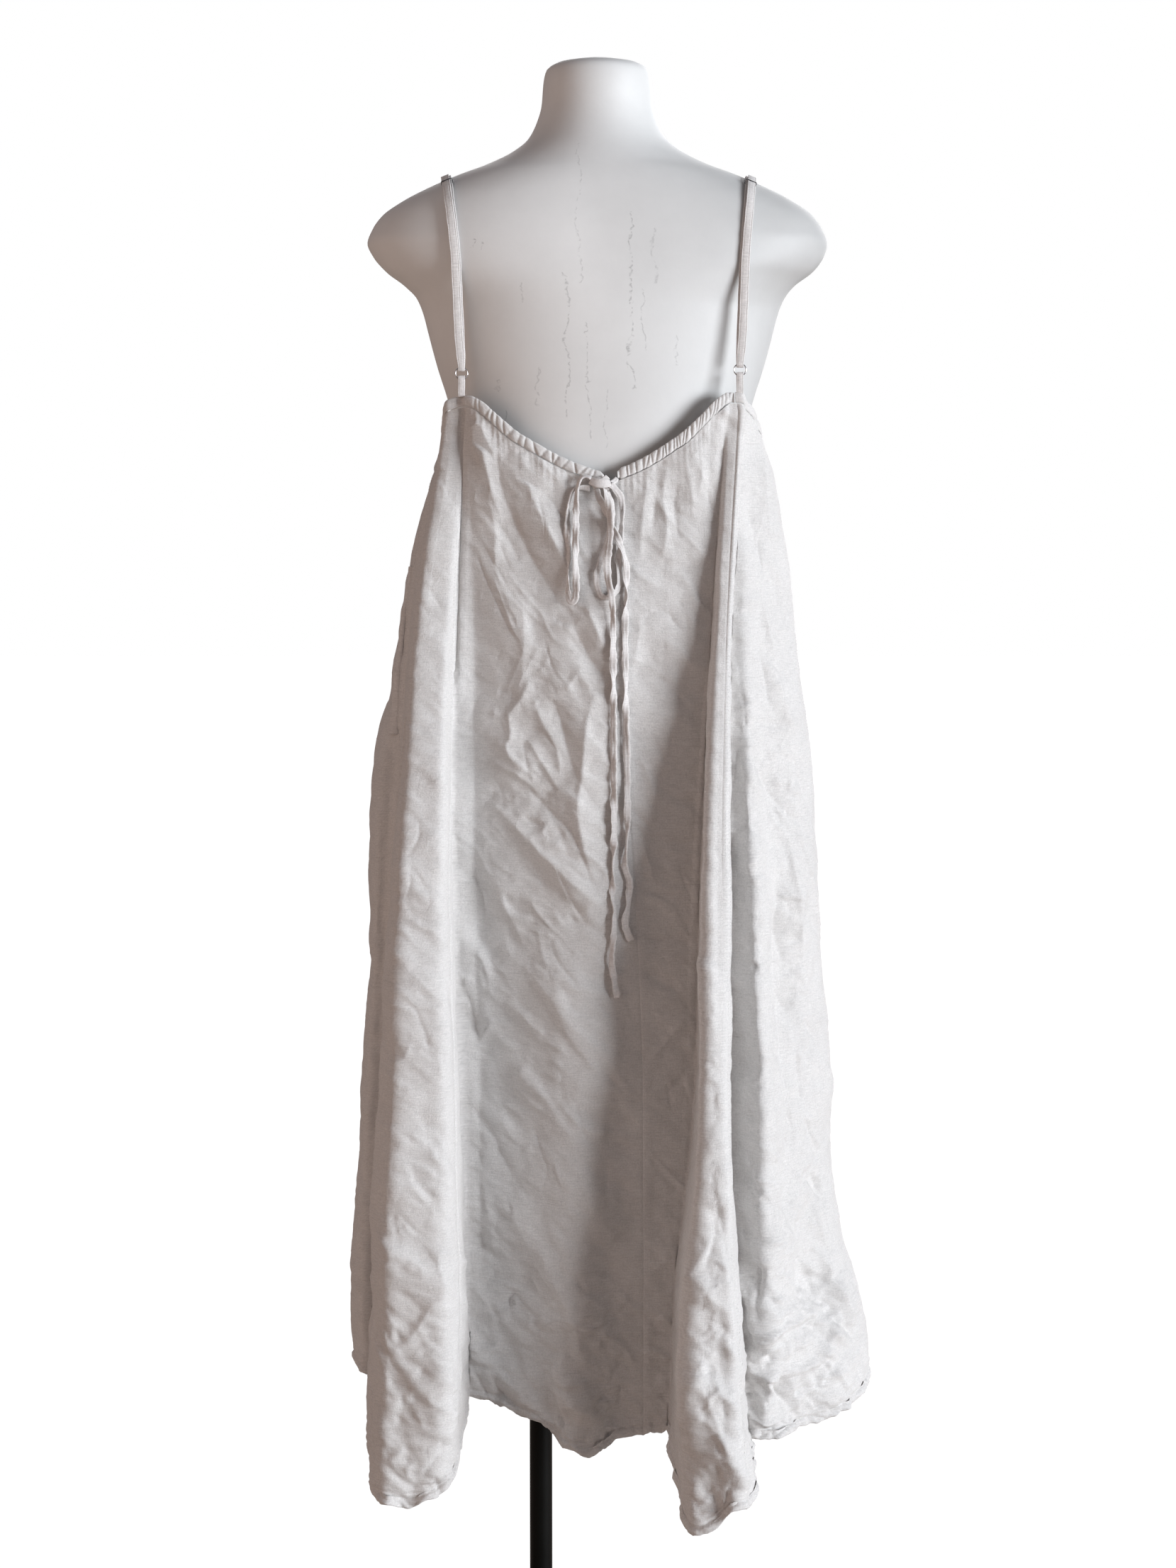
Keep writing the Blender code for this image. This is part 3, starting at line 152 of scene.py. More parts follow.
# The dress without its folds: reach to each side, behind and in front at each height
DressSection = namedtuple("DressSection", "height left right back front back_roundness front_roundness")
DRESS_SECTIONS = [DressSection(*row) for row in (
    (0.190, 0.2250, 0.2600, 0.1390, 0.1800, 2.2, 2.2),
    (0.260, 0.2300, 0.2620, 0.1380, 0.1780, 2.2, 2.2),
    (0.320, 0.2400, 0.2636, 0.1370, 0.1750, 2.2, 2.2),
    (0.370, 0.2430, 0.2560, 0.1350, 0.1720, 2.2, 2.2),
    (0.430, 0.2390, 0.2380, 0.1330, 0.1680, 2.2, 2.2),
    (0.500, 0.2335, 0.2270, 0.1310, 0.1650, 2.2, 2.2),
    (0.600, 0.2270, 0.2230, 0.1280, 0.1590, 2.2, 2.2),
    (0.700, 0.2205, 0.2150, 0.1240, 0.1530, 2.2, 2.2),
    (0.800, 0.2195, 0.2085, 0.1210, 0.1470, 2.3, 2.2),
    (0.900, 0.2110, 0.2030, 0.1200, 0.1410, 2.4, 2.3),
    (0.980, 0.1965, 0.1925, 0.1180, 0.1380, 2.5, 2.3),
    (1.040, 0.1860, 0.1845, 0.1130, 0.1370, 2.6, 2.4),
    (1.100, 0.1740, 0.1765, 0.1080, 0.1370, 2.8, 2.4),
    (1.160, 0.1575, 0.1665, 0.1030, 0.1370, 3.2, 2.4),
    (1.200, 0.1460, 0.1530, 0.1040, 0.1370, 3.6, 2.4),
    (1.240, 0.1445, 0.1455, 0.1070, 0.1360, 4.0, 2.4),
    (1.290, 0.1670, 0.1700, 0.1110, 0.1280, 4.0, 2.4),
    (1.340, 0.1950, 0.1980, 0.1120, 0.1120, 4.0, 2.4),
)]

# Each fold at the FOLD_HEIGHTS: where its crest lies, half its width, how far it stands out
FOLD_HEIGHTS = (1.22, 1.00, 0.80, 0.60, 0.40, 0.24)
Fold = namedtuple("Fold", "name side shape x half_width depth hem_dip")
FOLDS = (
    Fold(
        "left_flute",
        "back",
        "flute",
        x=(-0.1320, -0.1542, -0.1610, -0.1625, -0.1670, -0.1700),
        half_width=(0.0100, 0.0214, 0.0265, 0.0350, 0.0430, 0.0455),
        depth=(0.003, 0.034, 0.072, 0.098, 0.113, 0.120),
        hem_dip=0.056,
    ),
    Fold(
        "right_flute",
        "back",
        "flute",
        x=(0.1255, 0.1117, 0.1056, 0.1030, 0.1000, 0.1035),
        half_width=(0.0080, 0.0082, 0.0110, 0.0132, 0.0280, 0.0365),
        depth=(0.003, 0.030, 0.066, 0.095, 0.122, 0.142),
        hem_dip=0.044,
    ),
    Fold(
        "right_ridge",
        "back",
        "swell",
        x=(0.132, 0.136, 0.142, 0.152, 0.157, 0.165),
        half_width=(0.012, 0.014, 0.018, 0.024, 0.032, 0.036),
        depth=(0.000, 0.008, 0.027, 0.038, 0.034, 0.024),
        hem_dip=0.000,
    ),
    Fold(
        "middle_swell",
        "back",
        "swell",
        x=(0.000, -0.010, -0.016, -0.026, -0.022, -0.012),
        half_width=(0.050, 0.050, 0.046, 0.042, 0.038, 0.034),
        depth=(0.000, 0.004, 0.010, 0.014, 0.018, 0.024),
        hem_dip=0.022,
    ),
    Fold(
        "left_side_valley",
        "back",
        "swell",
        x=(-0.148, -0.180, -0.198, -0.206, -0.212, -0.210),
        half_width=(0.012, 0.016, 0.016, 0.018, 0.018, 0.018),
        depth=(0.000, -0.006, -0.014, -0.018, -0.018, -0.016),
        hem_dip=0.000,
    ),
    Fold(
        "front_left_flute",
        "front",
        "flute",
        x=(-0.105, -0.112, -0.120, -0.128, -0.134, -0.138),
        half_width=(0.012, 0.016, 0.021, 0.027, 0.034, 0.038),
        depth=(0.000, 0.010, 0.034, 0.056, 0.074, 0.080),
        hem_dip=0.030,
    ),
    Fold(
        "front_middle_flute",
        "front",
        "flute",
        x=(0.010, 0.008, 0.004, -0.002, -0.006, -0.008),
        half_width=(0.014, 0.018, 0.024, 0.029, 0.034, 0.038),
        depth=(0.000, 0.004, 0.020, 0.038, 0.054, 0.060),
        hem_dip=0.022,
    ),
    Fold(
        "front_right_flute",
        "front",
        "flute",
        x=(0.110, 0.118, 0.126, 0.134, 0.141, 0.146),
        half_width=(0.012, 0.015, 0.019, 0.024, 0.032, 0.037),
        depth=(0.000, 0.012, 0.038, 0.062, 0.080, 0.088),
        hem_dip=0.032,
    ),
)

# Seams at the FOLD_HEIGHTS, as distances from the form's middle, each on its own half of the dress
Seam = namedtuple("Seam", "name half x")
SEAMS = [Seam(*row) for row in (
    ("centre_back", "right", (0.0040, 0.0145, 0.0320, 0.0405, 0.0415, 0.0415)),
    ("right_princess", "right", (0.1275, 0.1150, 0.1100, 0.1125, 0.1210, 0.1300)),
    ("right_side", "right", (0.3000, 0.3000, 0.3000, 0.3000, 0.3000, 0.3000)),
    ("left_side", "left", (-0.1450, -0.1830, -0.1905, -0.2040, -0.2160, -0.2215)),
    ("left_princess", "left", (-0.1227, -0.1310, -0.1365, -0.1310, -0.1275, -0.1270)),
)]
POCKET_SEAM = 3
DEEPER_SEAM = 4  # pressed in more than the others

# Panels in their order round the dress, each from one seam to the next
PANELS = ("back_right", "side_back_right", "front", "side_back_left", "back_left")

# Top edge and hem; a place is 0 at the centre back seam and goes up by 1 at each seam in SEAMS' order
Edge = namedtuple("Edge", "place height")
TOP_EDGE = [Edge(*row) for row in (
    (0.00, 1.1640),
    (0.25, 1.1765),
    (0.55, 1.1990),
    (0.96, 1.2380),
    (1.02, 1.2380),
    (1.30, 1.2280),
    (1.65, 1.2100),
    (2.00, 1.2070),
    (2.12, 1.2230),
    (2.24, 1.2720),
    (2.27, 1.2780),
    (2.34, 1.2620),
    (2.50, 1.2400),
    (2.66, 1.2620),
    (2.73, 1.2780),
    (2.76, 1.2720),
    (2.88, 1.2230),
    (3.00, 1.2070),
    (3.35, 1.2100),
    (3.70, 1.2270),
    (3.98, 1.2350),
    (4.04, 1.2350),
    (4.45, 1.1990),
    (4.75, 1.1765),
    (5.00, 1.1640),
)]
HEM = [Edge(*row) for row in (
    (0.00, 0.2760),
    (0.25, 0.2850),
    (0.60, 0.2790),
    (0.75, 0.2720),
    (0.86, 0.2840),
    (1.00, 0.3160),
    (1.12, 0.3000),
    (1.30, 0.2760),
    (1.60, 0.2730),
    (1.80, 0.2820),
    (2.00, 0.2900),
    (2.20, 0.2860),
    (2.50, 0.2780),
    (2.80, 0.2860),
    (2.94, 0.3120),
    (3.05, 0.3000),
    (3.50, 0.2960),
    (4.00, 0.3110),
    (4.25, 0.3070),
    (4.50, 0.2930),
    (4.75, 0.2860),
    (5.00, 0.2760),
)]

# The gathered casing along the top edge
Casing = namedtuple("Casing", "name start end gathers")
CASINGS = [Casing(*row) for row in (
    ("casing_back_right", 0.085, 0.985, 26),
    ("casing_side_right", 0.992, 2.2333, 13),
    ("casing_front", 2.2385, 2.7615, 20),
    ("casing_side_left", 2.7667, 4.008, 13),
    ("casing_back_left", 4.015, 4.985, 21),
)]

# Pocket in the left side seam
POCKET_TOP = 1.080
POCKET_BOTTOM = 0.920
POCKET_REACH = 0.42  # how far the bag reaches into the front, in places
POCKET_PLACE = 2.990  # where the bag hangs from the seam
MOUTH_PLACE = 2.9935
MOUTH_LIFT = 0.0008
BAG_DEPTH = 0.0040  # the bag's outer face lies this far inside the dress
BAG_FACES = 0.0016  # between the bag's two faces
BAG_BULGE = 0.0012

# Straps, from the front over the shoulder to the back
Strap = namedtuple("Strap", "side sign front_place back_place top_x ring_x")
STRAPS = [Strap(*row) for row in (
    ("left", -1, 2.73, 4.00, 0.1412, 0.1257),
    ("right", 1, 2.27, 1.00, 0.1405, 0.1290),
)]

# The bow and its long ties: distance from the form's middle, height and layer over the cloth
TIES = {
    "tie_a": (
        (0.0052, 1.1495, 1.2), (0.0090, 1.1360, 2.0), (0.0103, 1.1180, 2.0), (0.0097, 1.1001, 1.6),
        (0.0078, 1.0867, 1.2), (0.0078, 1.0739, 1.0), (0.0098, 1.0623, 1.0), (0.0117, 1.0510, 1.0),
        (0.0130, 1.0360, 0.6), (0.0130, 1.0018, 0.0), (0.0137, 0.9179, 0.0), (0.0138, 0.8338, 0.0),
        (0.0125, 0.7800, 0.0), (0.0144, 0.7650, 0.0), (0.0132, 0.7371, 0.0), (0.0119, 0.7195, 0.0),
        (0.0145, 0.7006, 0.0), (0.0171, 0.6850, 0.0),
    ),
    "tie_b": (
        (-0.0022, 1.1497, 0.0), (0.0003, 1.1420, 0.4), (0.0040, 1.1350, 1.0), (0.0078, 1.1257, 1.0),
        (0.0136, 1.1155, 1.0), (0.0181, 1.1020, 1.0), (0.0226, 1.0912, 1.0), (0.0252, 1.0783, 0.6),
        (0.0250, 1.0597, 0.1), (0.0240, 1.0275, 0.0), (0.0247, 0.9502, 0.0), (0.0260, 0.8856, 0.0),
        (0.0261, 0.8338, 0.0), (0.0235, 0.8072, 0.0), (0.0280, 0.7930, 0.0), (0.0268, 0.7689, 0.0),
        (0.0240, 0.7527, 0.0), (0.0300, 0.7371, 0.0),
    ),
    "loop_left": (
        (-0.0070, 1.1590, 0.6), (-0.0108, 1.1612, 0.6), (-0.0168, 1.1590, 0.6), (-0.0203, 1.1450, 0.6),
        (-0.0208, 1.1136, 0.7), (-0.0212, 1.0873, 0.7), (-0.0208, 1.0738, 0.6), (-0.0205, 1.0570, 0.5),
        (-0.0217, 1.0495, 0.35), (-0.0245, 1.0465, 0.2), (-0.0273, 1.0500, 0.1), (-0.0282, 1.0570, 0.0),
        (-0.0280, 1.0731, 0.0), (-0.0274, 1.0900, 0.0), (-0.0285, 1.1110, 0.0), (-0.0280, 1.1302, 0.0),
        (-0.0245, 1.1460, 0.0), (-0.0165, 1.1510, 0.0), (-0.0080, 1.1505, 0.0),
    ),
    "loop_right": (
        (0.0105, 1.1540, 0.4), (0.0148, 1.1500, 0.2), (0.0201, 1.1418, 0.0), (0.0214, 1.1309, 0.0),
        (0.0207, 1.1174, 0.0), (0.0194, 1.0988, 0.0), (0.0182, 1.0873, 0.0), (0.0188, 1.0738, 0.0),
        (0.0182, 1.0622, 0.0), (0.0124, 1.0532, 0.0), (0.0034, 1.0519, 0.0), (-0.0012, 1.0609, 0.0),
        (-0.0018, 1.0712, 0.0), (0.0014, 1.0828, 0.0), (0.0053, 1.0930, 0.0), (0.0105, 1.1110, 0.0),
        (0.0118, 1.1334, 0.0), (0.0075, 1.1475, 0.0),
    ),
}


def smooth_curve(knots, values, at):
    """A curve through the values with no overshoot between them."""
    knots = np.asarray(knots, float)
    values = np.asarray(values, float)
    if knots[0] > knots[-1]:
        knots = knots[::-1]
        values = values[::-1]
    step = np.diff(knots)
    slope = np.diff(values) / step
    tangent = np.zeros_like(values)
    tangent[0] = slope[0]
    tangent[-1] = slope[-1]
    for i in range(1, len(knots) - 1):
        if slope[i - 1] * slope[i] > 0:
            before = 2 * step[i] + step[i - 1]
            after = step[i] + 2 * step[i - 1]
            tangent[i] = (before + after) / (before / slope[i - 1] + after / slope[i])
    at = np.clip(at, knots[0], knots[-1])
    i = np.clip(np.searchsorted(knots, at) - 1, 0, len(step) - 1)
    t = (at - knots[i]) / step[i]
    start = values[i] * (1 + 2 * t) * (1 - t) ** 2 + tangent[i] * step[i] * t * (1 - t) ** 2
    end = values[i + 1] * t * t * (3 - 2 * t) + tangent[i + 1] * step[i] * t * t * (t - 1)
    return start + end


def smooth_step(low, high, at):
    """0 at low and 1 at high, eased at both ends."""
    t = np.clip((at - low) / (high - low), 0, 1)
    return t * t * (3 - 2 * t)


def column_of(table, field, at):
    """One column of a table of sections, read at other heights or places."""
    return smooth_curve([row[0] for row in table], [getattr(row, field) for row in table], at)


def unit(vectors):
    return vectors / np.linalg.norm(vectors, axis=-1, keepdims=True)


def directions(path):
    """The way along a path at each of its points."""
    return unit(np.gradient(path, axis=0))


def distances(path):
    """How far along a path each of its points lies."""
    return np.concatenate([[0], np.cumsum(np.linalg.norm(np.diff(path, axis=0), axis=1))])


def girths(x, y):
    """How far round a level ring each of its points lies."""
    return np.concatenate([[0], np.cumsum(np.hypot(np.diff(x), np.diff(y)))])


# Dress form surface
def form_ratio(point):
    """Under 1 inside the dress form, 1 on its surface."""
    x, y, z = point
    if z < FORM_SECTIONS[0].height or z > FORM_SECTIONS[-1].height:
        return 9.0
    width = column_of(FORM_SECTIONS, "half_width", z)
    depth = column_of(FORM_SECTIONS, "back" if y < 0 else "front", z)
    middle = column_of(FORM_SECTIONS, "middle", z)
    power = column_of(FORM_SECTIONS, "roundness", z)
    return (abs(x - middle) / width) ** power + (abs(y) / depth) ** power


def form_normal(point):
    """The way out of the form's surface near a point."""
    small = 0.0015
    slope = np.array(
        [form_ratio(point + small * axis) - form_ratio(point - small * axis) for axis in np.eye(3)]
    )
    return slope / np.linalg.norm(slope)


def form_section(heights, behind):
    """The form's middle, half width, depth and roundness at many heights."""
    middle, width, back, front, power = (
        column_of(FORM_SECTIONS, field, heights) for field in FormSection._fields[1:]
    )
    return middle, width, np.where(behind, back, front), power


def form_skin(start, direction):
    """The point where a line from inside the form leaves it."""
    near = 0.0
    far = 0.40
    for _ in range(40):
        middle = (near + far) / 2
        if form_ratio(start + middle * direction) < 1:
            near = middle
        else:
            far = middle
    return start + near * direction


# Dress surface
GRID_HEIGHTS = np.arange(0.190, 1.335, 0.004)
GRID_COLUMNS = 150  # of the fine grid, for each panel
RING_POINTS = 2400


def fold_bump(shape, across):
    """Height of a fold's section, 1 at its crest, at a distance in half widths."""
    if shape == "flute":
        arch = (1 - np.clip(np.abs(across) / 1.06, 0, 1) ** 3) ** 0.45
        return arch * arch * (3 - 2 * arch)
    return np.exp(-1.4 * across**2)


def dress_ring(height):
    """One level section: its points, their distance round it, and where each seam lies on it."""
    turn = np.linspace(0, 2 * pi, RING_POINTS, endpoint=False)
    left, right, back, front, back_roundness, front_roundness = (
        column_of(DRESS_SECTIONS, field, height) for field in DressSection._fields[1:]
    )
    behind = np.cos(turn) > 0
    reach_x = np.where(turn < pi, right, left)
    reach_y = np.where(behind, back, front)
    power = np.where(behind, back_roundness, front_roundness)
    out = np.abs(np.sin(turn) / reach_x) ** power + np.abs(np.cos(turn) / reach_y) ** power
    x = np.sin(turn) * out ** (-1 / power)
    y = -np.cos(turn) * out ** (-1 / power)
    plain = girths(x, y)
    girth = plain[-1] + np.hypot(x[0] - x[-1], y[0] - y[-1])

    quarter = RING_POINTS // 4
    back_right = slice(0, quarter + 1)
    front_half = slice(quarter, 3 * quarter + 1)
    back_left = slice(3 * quarter, RING_POINTS)

    def distance_to(wanted, half):
        if half == "front":
            return np.interp(-wanted, -x[front_half], plain[front_half])
        own = back_right if wanted >= 0 else back_left
        return np.interp(wanted, x[own], plain[own])

    dip = np.zeros(RING_POINTS)
    pushed = y.copy()
    for fold in FOLDS:
        middle = smooth_curve(FOLD_HEIGHTS, fold.x, height)
        crest = distance_to(middle, fold.side)
        half_width = smooth_curve(FOLD_HEIGHTS, fold.half_width, height)
        reach = smooth_curve(FOLD_HEIGHTS, fold.depth, height) * (-1 if fold.side == "back" else 1)
        if fold.shape == "flute":
            bump = fold_bump(fold.shape, (x - middle) / half_width)
            bump[behind != (fold.side == "back")] = 0
            pushed += (np.interp(crest, plain, y) + reach - pushed) * bump
        else:
            apart = (plain - crest + girth / 2) % girth - girth / 2
            bump = fold_bump(fold.shape, apart / half_width)
            pushed += reach * bump
        dip += fold.hem_dip * bump

    seams = []
    for seam in SEAMS:
        wanted = smooth_curve(FOLD_HEIGHTS, seam.x, height)
        if height > FOLD_HEIGHTS[0]:
            reach = column_of(DRESS_SECTIONS, seam.half, [height, FOLD_HEIGHTS[0]])
            wanted *= reach[0] / reach[1]
        if seam.half == "right":
            wanted = min(wanted, x[quarter])
        else:
            wanted = max(wanted, x[3 * quarter])
        seams.append(distance_to(wanted, "back"))
    return x, pushed, plain, girth, dip, seams


def resample_ring(height):
    """Evenly spaced points along each panel at one height, from the centre back seam all round."""
    x, y, plain, girth, dip, seams = dress_ring(height)
    x = np.concatenate([x, x, x[:1]])
    y = np.concatenate([y, y, y[:1]])
    dip = np.concatenate([dip, dip, dip[:1]])
    plain = np.concatenate([plain, plain + girth, [2 * girth]])
    along = girths(x, y)
    marks = [np.interp(mark, plain, along) for mark in [*seams, seams[0] + girth]]
    places = []
    for start, end in zip(marks[:-1], marks[1:]):
        places.append(np.linspace(start, end, GRID_COLUMNS, endpoint=False))
    places = np.concatenate([*places, [marks[-1]]])
    return [np.interp(places, along, values) for values in (x, y, dip)]


LEVELS = [resample_ring(height) for height in GRID_HEIGHTS]
GRID_X = np.array([level[0] for level in LEVELS])
GRID_Y = np.array([level[1] for level in LEVELS])
HEM_DIP = LEVELS[int(np.argmin(abs(GRID_HEIGHTS - 0.26)))][2]


def dress_point(place, height):
    """The cloth's outer surface at a place round the dress and a height."""
    place = np.asarray(place, float) % len(PANELS)
    across = place * GRID_COLUMNS
    column = np.clip(np.floor(across).astype(int), 0, GRID_X.shape[1] - 2)
    level = (np.asarray(height, float) - GRID_HEIGHTS[0]) / (GRID_HEIGHTS[1] - GRID_HEIGHTS[0])
    row = np.clip(np.floor(level).astype(int), 0, len(GRID_HEIGHTS) - 2)
    u = across - column
    v = level - row
    found = []
    for grid in (GRID_X, GRID_Y):
        low = grid[row, column] * (1 - u) + grid[row, column + 1] * u
        high = grid[row + 1, column] * (1 - u) + grid[row + 1, column + 1] * u
        found.append(low * (1 - v) + high * v)
    return np.stack([found[0], found[1], np.broadcast_to(height, found[0].shape)], -1)


def dress_normal(place, height):
    """The way out of the cloth at a place and height."""
    place = np.asarray(place)
    height = np.asarray(height)
    around = dress_point(place + 0.02, height) - dress_point(place - 0.02, height)
    up = dress_point(place, height + 0.008) - dress_point(place, height - 0.008)
    return unit(np.cross(around, up))


def top_height(place):
    """The height of the dress's upper edge."""
    return column_of(TOP_EDGE, "height", np.asarray(place) % len(PANELS))


def casing_height(place):
    """The casing's height up the cloth, which grows where the edge runs steeply."""
    place = np.asarray(place, float)
    low = np.minimum(top_height(place - 0.01), top_height(place + 0.01)) - 0.005
    run = np.linalg.norm(
        dress_point(place + 0.01, low)[..., :2] - dress_point(place - 0.01, low)[..., :2], axis=-1
    )
    rise = top_height(place + 0.01) - top_height(place - 0.01)
    return CASING_HEIGHT * np.minimum(np.sqrt(1 + (rise / run) ** 2), 1.5)


def hem_height(place):
    """The height of the hem, which dips at the folds."""
    place = np.asarray(place, float)
    dip = np.interp(place * GRID_COLUMNS, np.arange(len(HEM_DIP)), HEM_DIP)
    return column_of(HEM, "height", place) - dip


def back_depth(x, height):
    """How far behind the form's middle the cloth's outer face lies."""
    level = (height - GRID_HEIGHTS[0]) / (GRID_HEIGHTS[1] - GRID_HEIGHTS[0])
    row = int(level)
    right = slice(0, 2 * GRID_COLUMNS)
    left = slice(4 * GRID_COLUMNS, 5 * GRID_COLUMNS + 1)
    depths = []
    for i in (row, row + 1):
        xs = np.concatenate([GRID_X[i, left], GRID_X[i, right]])
        ys = np.concatenate([GRID_Y[i, left], GRID_Y[i, right]])
        order = np.argsort(xs)
        depths.append(np.interp(x, xs[order], ys[order]))
    return depths[0] * (row + 1 - level) + depths[1] * (level - row)


def resampled(path, spacing):
    """Even steps along a route through the given points."""
    path = np.asarray(path, float)
    along = distances(path)
    count = max(int(round(along[-1] / spacing)), 2)
    at = np.linspace(0, along[-1], count + 1)
    return np.stack([np.interp(at, along, path[:, axis]) for axis in range(path.shape[1])], -1)


def rounded_route(points, steps=12):
    """A smooth curve through every point of a route."""
    points = np.asarray(points, float)
    ends = np.concatenate([[2 * points[0] - points[1]], points, [2 * points[-1] - points[-2]]])
    route = []
    for i in range(1, len(ends) - 2):
        a, b, c, d = ends[i - 1 : i + 3]
        bend = 2 * a - 5 * b + 4 * c - d
        twist = 3 * b - a - 3 * c + d
        for t in np.linspace(0, 1, steps, endpoint=False):
            route.append(0.5 * (2 * b + (c - a) * t + bend * t**2 + twist * t**3))
    route.append(ends[-2])
    return np.array(route)


# Shader parts
def node_group(name, inputs, outputs):
    """An empty shader group with the given inputs (name, type, default) and outputs (name, type)."""
    group = bpy.data.node_groups.new(name, "ShaderNodeTree")
    for label, kind, default in inputs:
        socket = group.interface.new_socket(label, in_out="INPUT", socket_type="NodeSocket" + kind)
        socket.default_value = default
    for label, kind in outputs:
        group.interface.new_socket(label, in_out="OUTPUT", socket_type="NodeSocket" + kind)
    return group


class Shader:
    """A few short words for wiring shader nodes."""

    def __init__(self, tree):
        self.tree = tree

    def add(self, kind, **settings):
        node = self.tree.nodes.new(kind if kind.startswith("NodeGroup") else "ShaderNode" + kind)
        for key, value in settings.items():
            setattr(node, key, value)
        return node

    def join(self, value, socket):
        """Links an input to another node's output, or sets it."""
        if isinstance(value, bpy.types.NodeSocket):
            self.tree.links.new(value, socket)
        else:
            socket.default_value = value

    def feed(self, node, **values):
        """Joins inputs by name; underscores stand for spaces."""
        for key, value in values.items():
            self.join(value, node.inputs[key.replace("_", " ")])
        return node

    def maths(self, operation, *values):
        node = self.add("Math", operation=operation)
        for value, socket in zip(values, node.inputs):
            self.join(value, socket)
        return node.outputs[0]

    def chain(self, operation, values):
        total = values[0]
        for value in values[1:]:
            total = self.maths(operation, total, value)
        return total

    def times(self, *values):
        return self.chain("MULTIPLY", values)

    def plus(self, *values):
        return self.chain("ADD", values)

    def noise(self, place, scale, detail=2.0, roughness=0.5):
        node = self.add("TexNoise")
        self.feed(node, Vector=place, Scale=scale, Detail=detail, Roughness=roughness)
        return node.outputs["Fac"]

    def stretched(self, place, scale):
        return self.feed(self.add("Mapping"), Vector=place, Scale=scale).outputs[0]

    def between(self, value, low, high, to_low=0.0, to_high=1.0):
        node = self.add("MapRange")
        names = ("Value", "From Min", "From Max", "To Min", "To Max")
        for name, entry in zip(names, (value, low, high, to_low, to_high)):
            self.join(entry, node.inputs[name])
        return node.outputs[0]

    def apart(self, place):
        """The three coordinates of a place."""
        node = self.add("SeparateXYZ")
        self.join(place, node.inputs[0])
        return node.outputs

    def bump(self, shader, height, strength, distance):
        """Gives a surface the relief of a height."""
        relief = self.feed(self.add("Bump"), Strength=strength, Distance=distance, Height=height)
        self.join(relief.outputs[0], shader.inputs["Normal"])


def weave_group():
    """Plain linen weave: thick and thin threads both ways, laid out in metres of cloth."""
    group = node_group(
        "linen_weave",
        (("Cloth", "Vector", (0, 0, 0)), ("Thread", "Float", 0.0011), ("Slub", "Float", 1.0)),
        (("Tone", "Float"), ("Height", "Float")),
    )
    make = Shader(group)
    inside = make.add("NodeGroupInput")
    outside = make.add("NodeGroupOutput")
    cloth = inside.outputs["Cloth"]
    across = make.noise(make.stretched(cloth, (110, 950, 1)), 1.0, 3.0, 0.6)
    down = make.noise(make.stretched(cloth, (950, 120, 1)), 1.0, 3.0, 0.6)
    slub_across = make.noise(make.stretched(cloth, (22, 420, 1)), 1.0, 1.0)
    slub_down = make.noise(make.stretched(cloth, (520, 24, 1)), 1.0, 1.0)
    place = make.apart(cloth)
    waves = []
    for axis in (0, 1):
        turns = make.maths("DIVIDE", place[axis], inside.outputs["Thread"])
        waves.append(make.maths("SINE", make.times(turns, 2 * pi)))
    thick = make.maths(
        "MAXIMUM", make.between(slub_across, 0.60, 0.78), make.between(slub_down, 0.70, 0.86)
    )
    thick = make.times(thick, inside.outputs["Slub"])
    grain = make.noise(cloth, 620.0, 3.0, 0.65)
    threads = make.plus(make.times(across, 0.65), make.times(down, 0.35))
    height = make.plus(
        make.times(*waves, 0.07), threads, make.times(grain, 0.7), make.times(thick, 0.30)
    )
    make.join(height, outside.inputs["Height"])
    tone = make.plus(make.between(threads, 0.35, 0.65, 0.90, 1.09), make.times(thick, -0.06))
    tone = make.times(tone, make.between(grain, 0.3, 0.7, 0.90, 1.10))
    make.join(tone, outside.inputs["Tone"])
    return group


def crumple_group():
    """Faint uneven shade of washed cloth, in metres of cloth."""
    group = node_group(
        "washed_cloth", (("Cloth", "Vector", (0, 0, 0)),), (("Tone", "Float"), ("Height", "Float"))
    )
    make = Shader(group)
    cloth = make.add("NodeGroupInput").outputs["Cloth"]
    outside = make.add("NodeGroupOutput")
    broad = make.noise(cloth, 18.0, 5.0, 0.65)
    make.join(make.plus(make.between(broad, 0.3, 0.7, -0.035, 0.035), 1.0), outside.inputs["Tone"])
    height = make.noise(cloth, 120.0, 3.0, 0.6)
    # Two sizes of fine crease
    for scale, stretch, width, lift in (
        (17.0, (1.7, 0.8, 1), 0.05, 0.45),
        (41.0, (1.5, 0.8, 1), 0.08, 0.35),
    ):
        swell = make.noise(make.stretched(cloth, stretch), scale, 1.5, 0.5)
        shown = make.between(make.noise(cloth, scale * 0.6, 1.0), 0.45, 0.65)
        off = make.maths("ABSOLUTE", make.maths("SUBTRACT", swell, 0.5))
        height = make.plus(height, make.times(make.between(off, 0.0, width, 1.0, 0.0), shown, lift))
    make.join(height, outside.inputs["Height"])
    return group


def group_node(make, group, **values):
    node = make.add("Group")
    node.node_tree = group
    make.feed(node, **values)
    return node


def plain_material(name, colour, roughness, metallic=0.0):
    material = bpy.data.materials.new(name)
    material.use_nodes = True
    make = Shader(material.node_tree)
    shader = material.node_tree.nodes["Principled BSDF"]
    make.feed(shader, Base_Color=(*colour, 1), Roughness=roughness, Metallic=metallic)
    return material, make, shader


def scaled_colour(make, colour, *tones):
    """A colour made lighter and darker by tones that vary round 1."""
    node = make.add("VectorMath", operation="SCALE")
    return make.feed(node, Vector=colour[:3], Scale=make.times(*tones)).outputs[0]


